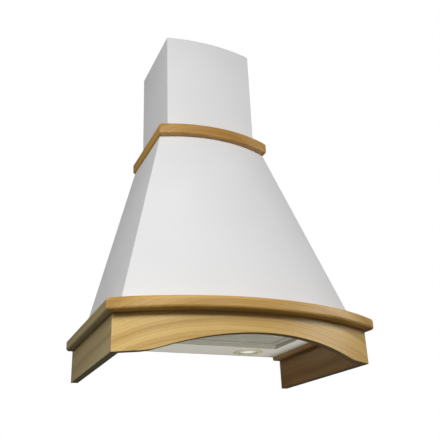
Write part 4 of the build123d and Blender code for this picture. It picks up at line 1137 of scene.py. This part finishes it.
@dataclass
class Electrics(SubAssembly):
    """Terminal box, capacitor and cable gland."""

    lid_front: float = -0.035
    screw_x: Pair = (0.099, 0.157)
    screw_z: Pair = (-0.105, -0.175)
    head_radius: float = 0.0032
    head_height: float = 0.0018
    head_edge: float = 0.00072
    head_rim: float = 0.001344
    socket_depth: float = 0.00108

    def build(self) -> None:
        """Models the lid's four screws, each with its socket."""
        first = (self.screw_x[0], self.screw_z[0])
        middle = (first[0], self.lid_front - self.head_height / 2, first[1])
        size = {"radius": self.head_radius, "depth": self.head_height, "rotation": (pi / 2, 0.0, 0.0)}
        bench = Bench("terminal_lid_screws", "cylinder", vertices=24, location=middle, **size)
        bench.sink_head(FORWARD, self.head_edge, self.head_rim, self.socket_depth)
        places = [(x - first[0], 0.0, z - first[1]) for z in self.screw_z for x in self.screw_x]
        bench.scatter(places[1:])
        bench.finish(SCREW_STEEL, "hood", "bright_steel")

    def dress(self) -> None:
        """Gives the electrical pieces their finishes."""
        wear(Moulding("terminal_box_plastic", colour=tint(58, 59, 62)), "terminal_box")
        wear(Moulding("terminal_lid_plastic", colour=tint(70, 71, 74)), "terminal_lid")
        wear(Moulding("capacitor_plastic", colour=tint(216, 216, 214)), "capacitor")
        wear(ZINC, "capacitor_clip")
        wear(Moulding("soft_rubber", colour=tint(34, 34, 35), rough=0.6), "cable_gland")


# --- Studio ---


@dataclass(frozen=True)
class SoftLamp:
    """A square lamp that faces the hood from a distance."""

    name: str
    azimuth: float
    elevation: float
    power: float
    size: float = 1.0
    colour: Colour = (1.0, 0.995, 0.99)
    distance: float = 2.0
    mirrored: bool = True


@dataclass
class Studio:
    """Pale floor, soft lamps and a camera below the hood's left front corner."""

    floor_height: float = -2.1
    floor_size: float = 12.0
    floor_lamp_height: float = 1.2
    floor_lamp_size: float = 14.0
    floor_lamp_power: float = 620.0
    camera_place: Point = (-0.5629, -1.4578, -0.6720)
    camera_yaw: float = 24.77
    camera_pitch: float = 23.44
    camera_roll: float = -2.37
    focal_pixels: float = 614.83
    picture_width: float = 440.0
    sensor_width: float = 36.0
    aim: Point = (0.0, -0.3, -0.45)
    room_glow: float = 0.075
    pan_lamp_place: Point = (0.0, -0.19, -0.43)
    pan_lamp_aim: Point = (0.0, -0.165, -0.35)
    pan_lamp_size: Pair = (0.48, 0.36)
    pan_lamp_power: float = 0.46
    pan_lamp_spread: float = 42.0
    lamps: tuple[SoftLamp, ...] = (
        SoftLamp("left_lamp", -80.0, 26.0, 9.2, distance=1.6),
        SoftLamp("front_left_lamp", -30.0, 32.0, 8.6, size=0.36, distance=1.6),
        SoftLamp("front_lamp", 2.0, 32.0, 4.5, size=0.36, distance=1.6),
        SoftLamp("right_lamp", 60.0, 22.0, 12.0),
        SoftLamp("back_lamp", 180.0, 16.0, 9.0, mirrored=False),
    )

    def floor(self) -> None:
        """Lays the pale floor under the hood and lights it."""
        bpy.ops.mesh.primitive_plane_add(size=self.floor_size, location=(0.0, 0.0, self.floor_height))
        plane = bpy.context.active_object
        plane.name = "pale_floor"
        paint = Enamel("pale_floor", colour=tint(214, 213, 210), rough=0.7, coat=0.0)
        plane.data.materials.append(paint.material())
        plane.visible_diffuse = plane.visible_glossy = False
        place = Vector((0.0, 0.0, self.floor_height + self.floor_lamp_height))
        light = self.hang("floor_lamp", place, place + DOWN).data
        light.size, light.energy = self.floor_lamp_size, self.floor_lamp_power

    def hang(self, name: str, place: Vector, aim: Vector) -> bpy.types.Object:
        """Hangs an area lamp out of the camera's sight and turns it to the point that it faces.

        Args:
            name: Name of the lamp.
            place: Where it hangs.
            aim: The point that it faces.

        Returns:
            The lamp's object.
        """
        holder = bpy.data.objects.new(name, bpy.data.lights.new(name, "AREA"))
        bpy.context.scene.collection.objects.link(holder)
        holder.location = place
        holder.rotation_euler = (aim - place).to_track_quat("-Z", "Y").to_euler()
        holder.visible_camera = False
        return holder

    def lamp(self, soft: SoftLamp) -> None:
        """Hangs one soft lamp round the hood.

        Args:
            soft: The lamp.
        """
        bearing, height = radians(soft.azimuth), radians(soft.elevation)
        way = Vector((sin(bearing) * cos(height), -cos(bearing) * cos(height), sin(height)))
        holder = self.hang(soft.name, Vector(self.aim) + way * soft.distance, Vector(self.aim))
        holder.visible_glossy = soft.mirrored
        light = holder.data
        light.size, light.energy, light.color = soft.size, soft.power, soft.colour

    def pan_lamp(self) -> None:
        """Lays a narrow lamp under the pan, for the glow that a hob gives back."""
        light = self.hang("pan_lamp", Vector(self.pan_lamp_place), Vector(self.pan_lamp_aim)).data
        light.shape, light.energy = "RECTANGLE", self.pan_lamp_power
        light.spread = radians(self.pan_lamp_spread)
        light.size, light.size_y = self.pan_lamp_size

    def sky(self) -> None:
        """Makes the room: white where the camera sees it, and dim where it only lights."""
        world = bpy.data.worlds.new("soft_room")
        bpy.context.scene.world = world
        world.use_nodes = True
        world.node_tree.nodes.clear()
        sheet = Sheet(world.node_tree)
        seen = sheet.add("ShaderNodeLightPath").outputs["Is Camera Ray"]
        behind = sheet.add("ShaderNodeBackground", Color=(1.0, 1.0, 1.0), Strength=1.0)
        around = sheet.add("ShaderNodeBackground", Color=(1.0, 1.0, 0.98), Strength=self.room_glow)
        both = sheet.add("ShaderNodeMixShader")
        for socket, value in zip(both.inputs, (seen, around.outputs[0], behind.outputs[0])):
            sheet.feed(socket, value)
        sheet.add("ShaderNodeOutputWorld", Surface=both.outputs[0])

    def camera(self) -> None:
        """Stands the camera where the photograph was taken from."""
        turns = (self.camera_yaw, self.camera_pitch, self.camera_roll)
        yaw, pitch, roll = (radians(turn) for turn in turns)
        ahead = Vector((sin(yaw) * cos(pitch), cos(yaw) * cos(pitch), sin(pitch)))
        level = Vector((cos(yaw), -sin(yaw), 0.0))
        upright = level.cross(ahead)
        right = cos(roll) * level + sin(roll) * upright
        up = cos(roll) * upright - sin(roll) * level
        lens = bpy.data.cameras.new("camera")
        lens.sensor_width = self.sensor_width
        lens.lens = self.focal_pixels / self.picture_width * self.sensor_width
        holder = bpy.data.objects.new("camera", lens)
        bpy.context.scene.collection.objects.link(holder)
        facing = Matrix((right, up, -ahead)).transposed().to_4x4()
        holder.matrix_world = Matrix.Translation(self.camera_place) @ facing
        bpy.context.scene.camera = holder

    def build(self) -> None:
        """Sets up floor, light and camera."""
        bpy.context.scene.view_settings.view_transform = "Standard"
        self.floor()
        self.sky()
        for soft in self.lamps:
            self.lamp(soft)
        self.pan_lamp()
        self.camera()


ASSEMBLIES = (OakSurround, OakCollar, SteelBody, GreaseFilter, Lamps, Controls, Blower, Electrics)


def main() -> None:
    """Builds the hood's looks in order and reports each piece."""
    logging.basicConfig(level=logging.INFO, format="%(name)s: %(message)s")
    bpy.ops.object.select_all(action="DESELECT")
    for kind in ASSEMBLIES:
        assembly = kind()
        assembly.build()
        assembly.dress()
    Studio().build()


if __name__ == "__main__":
    main()
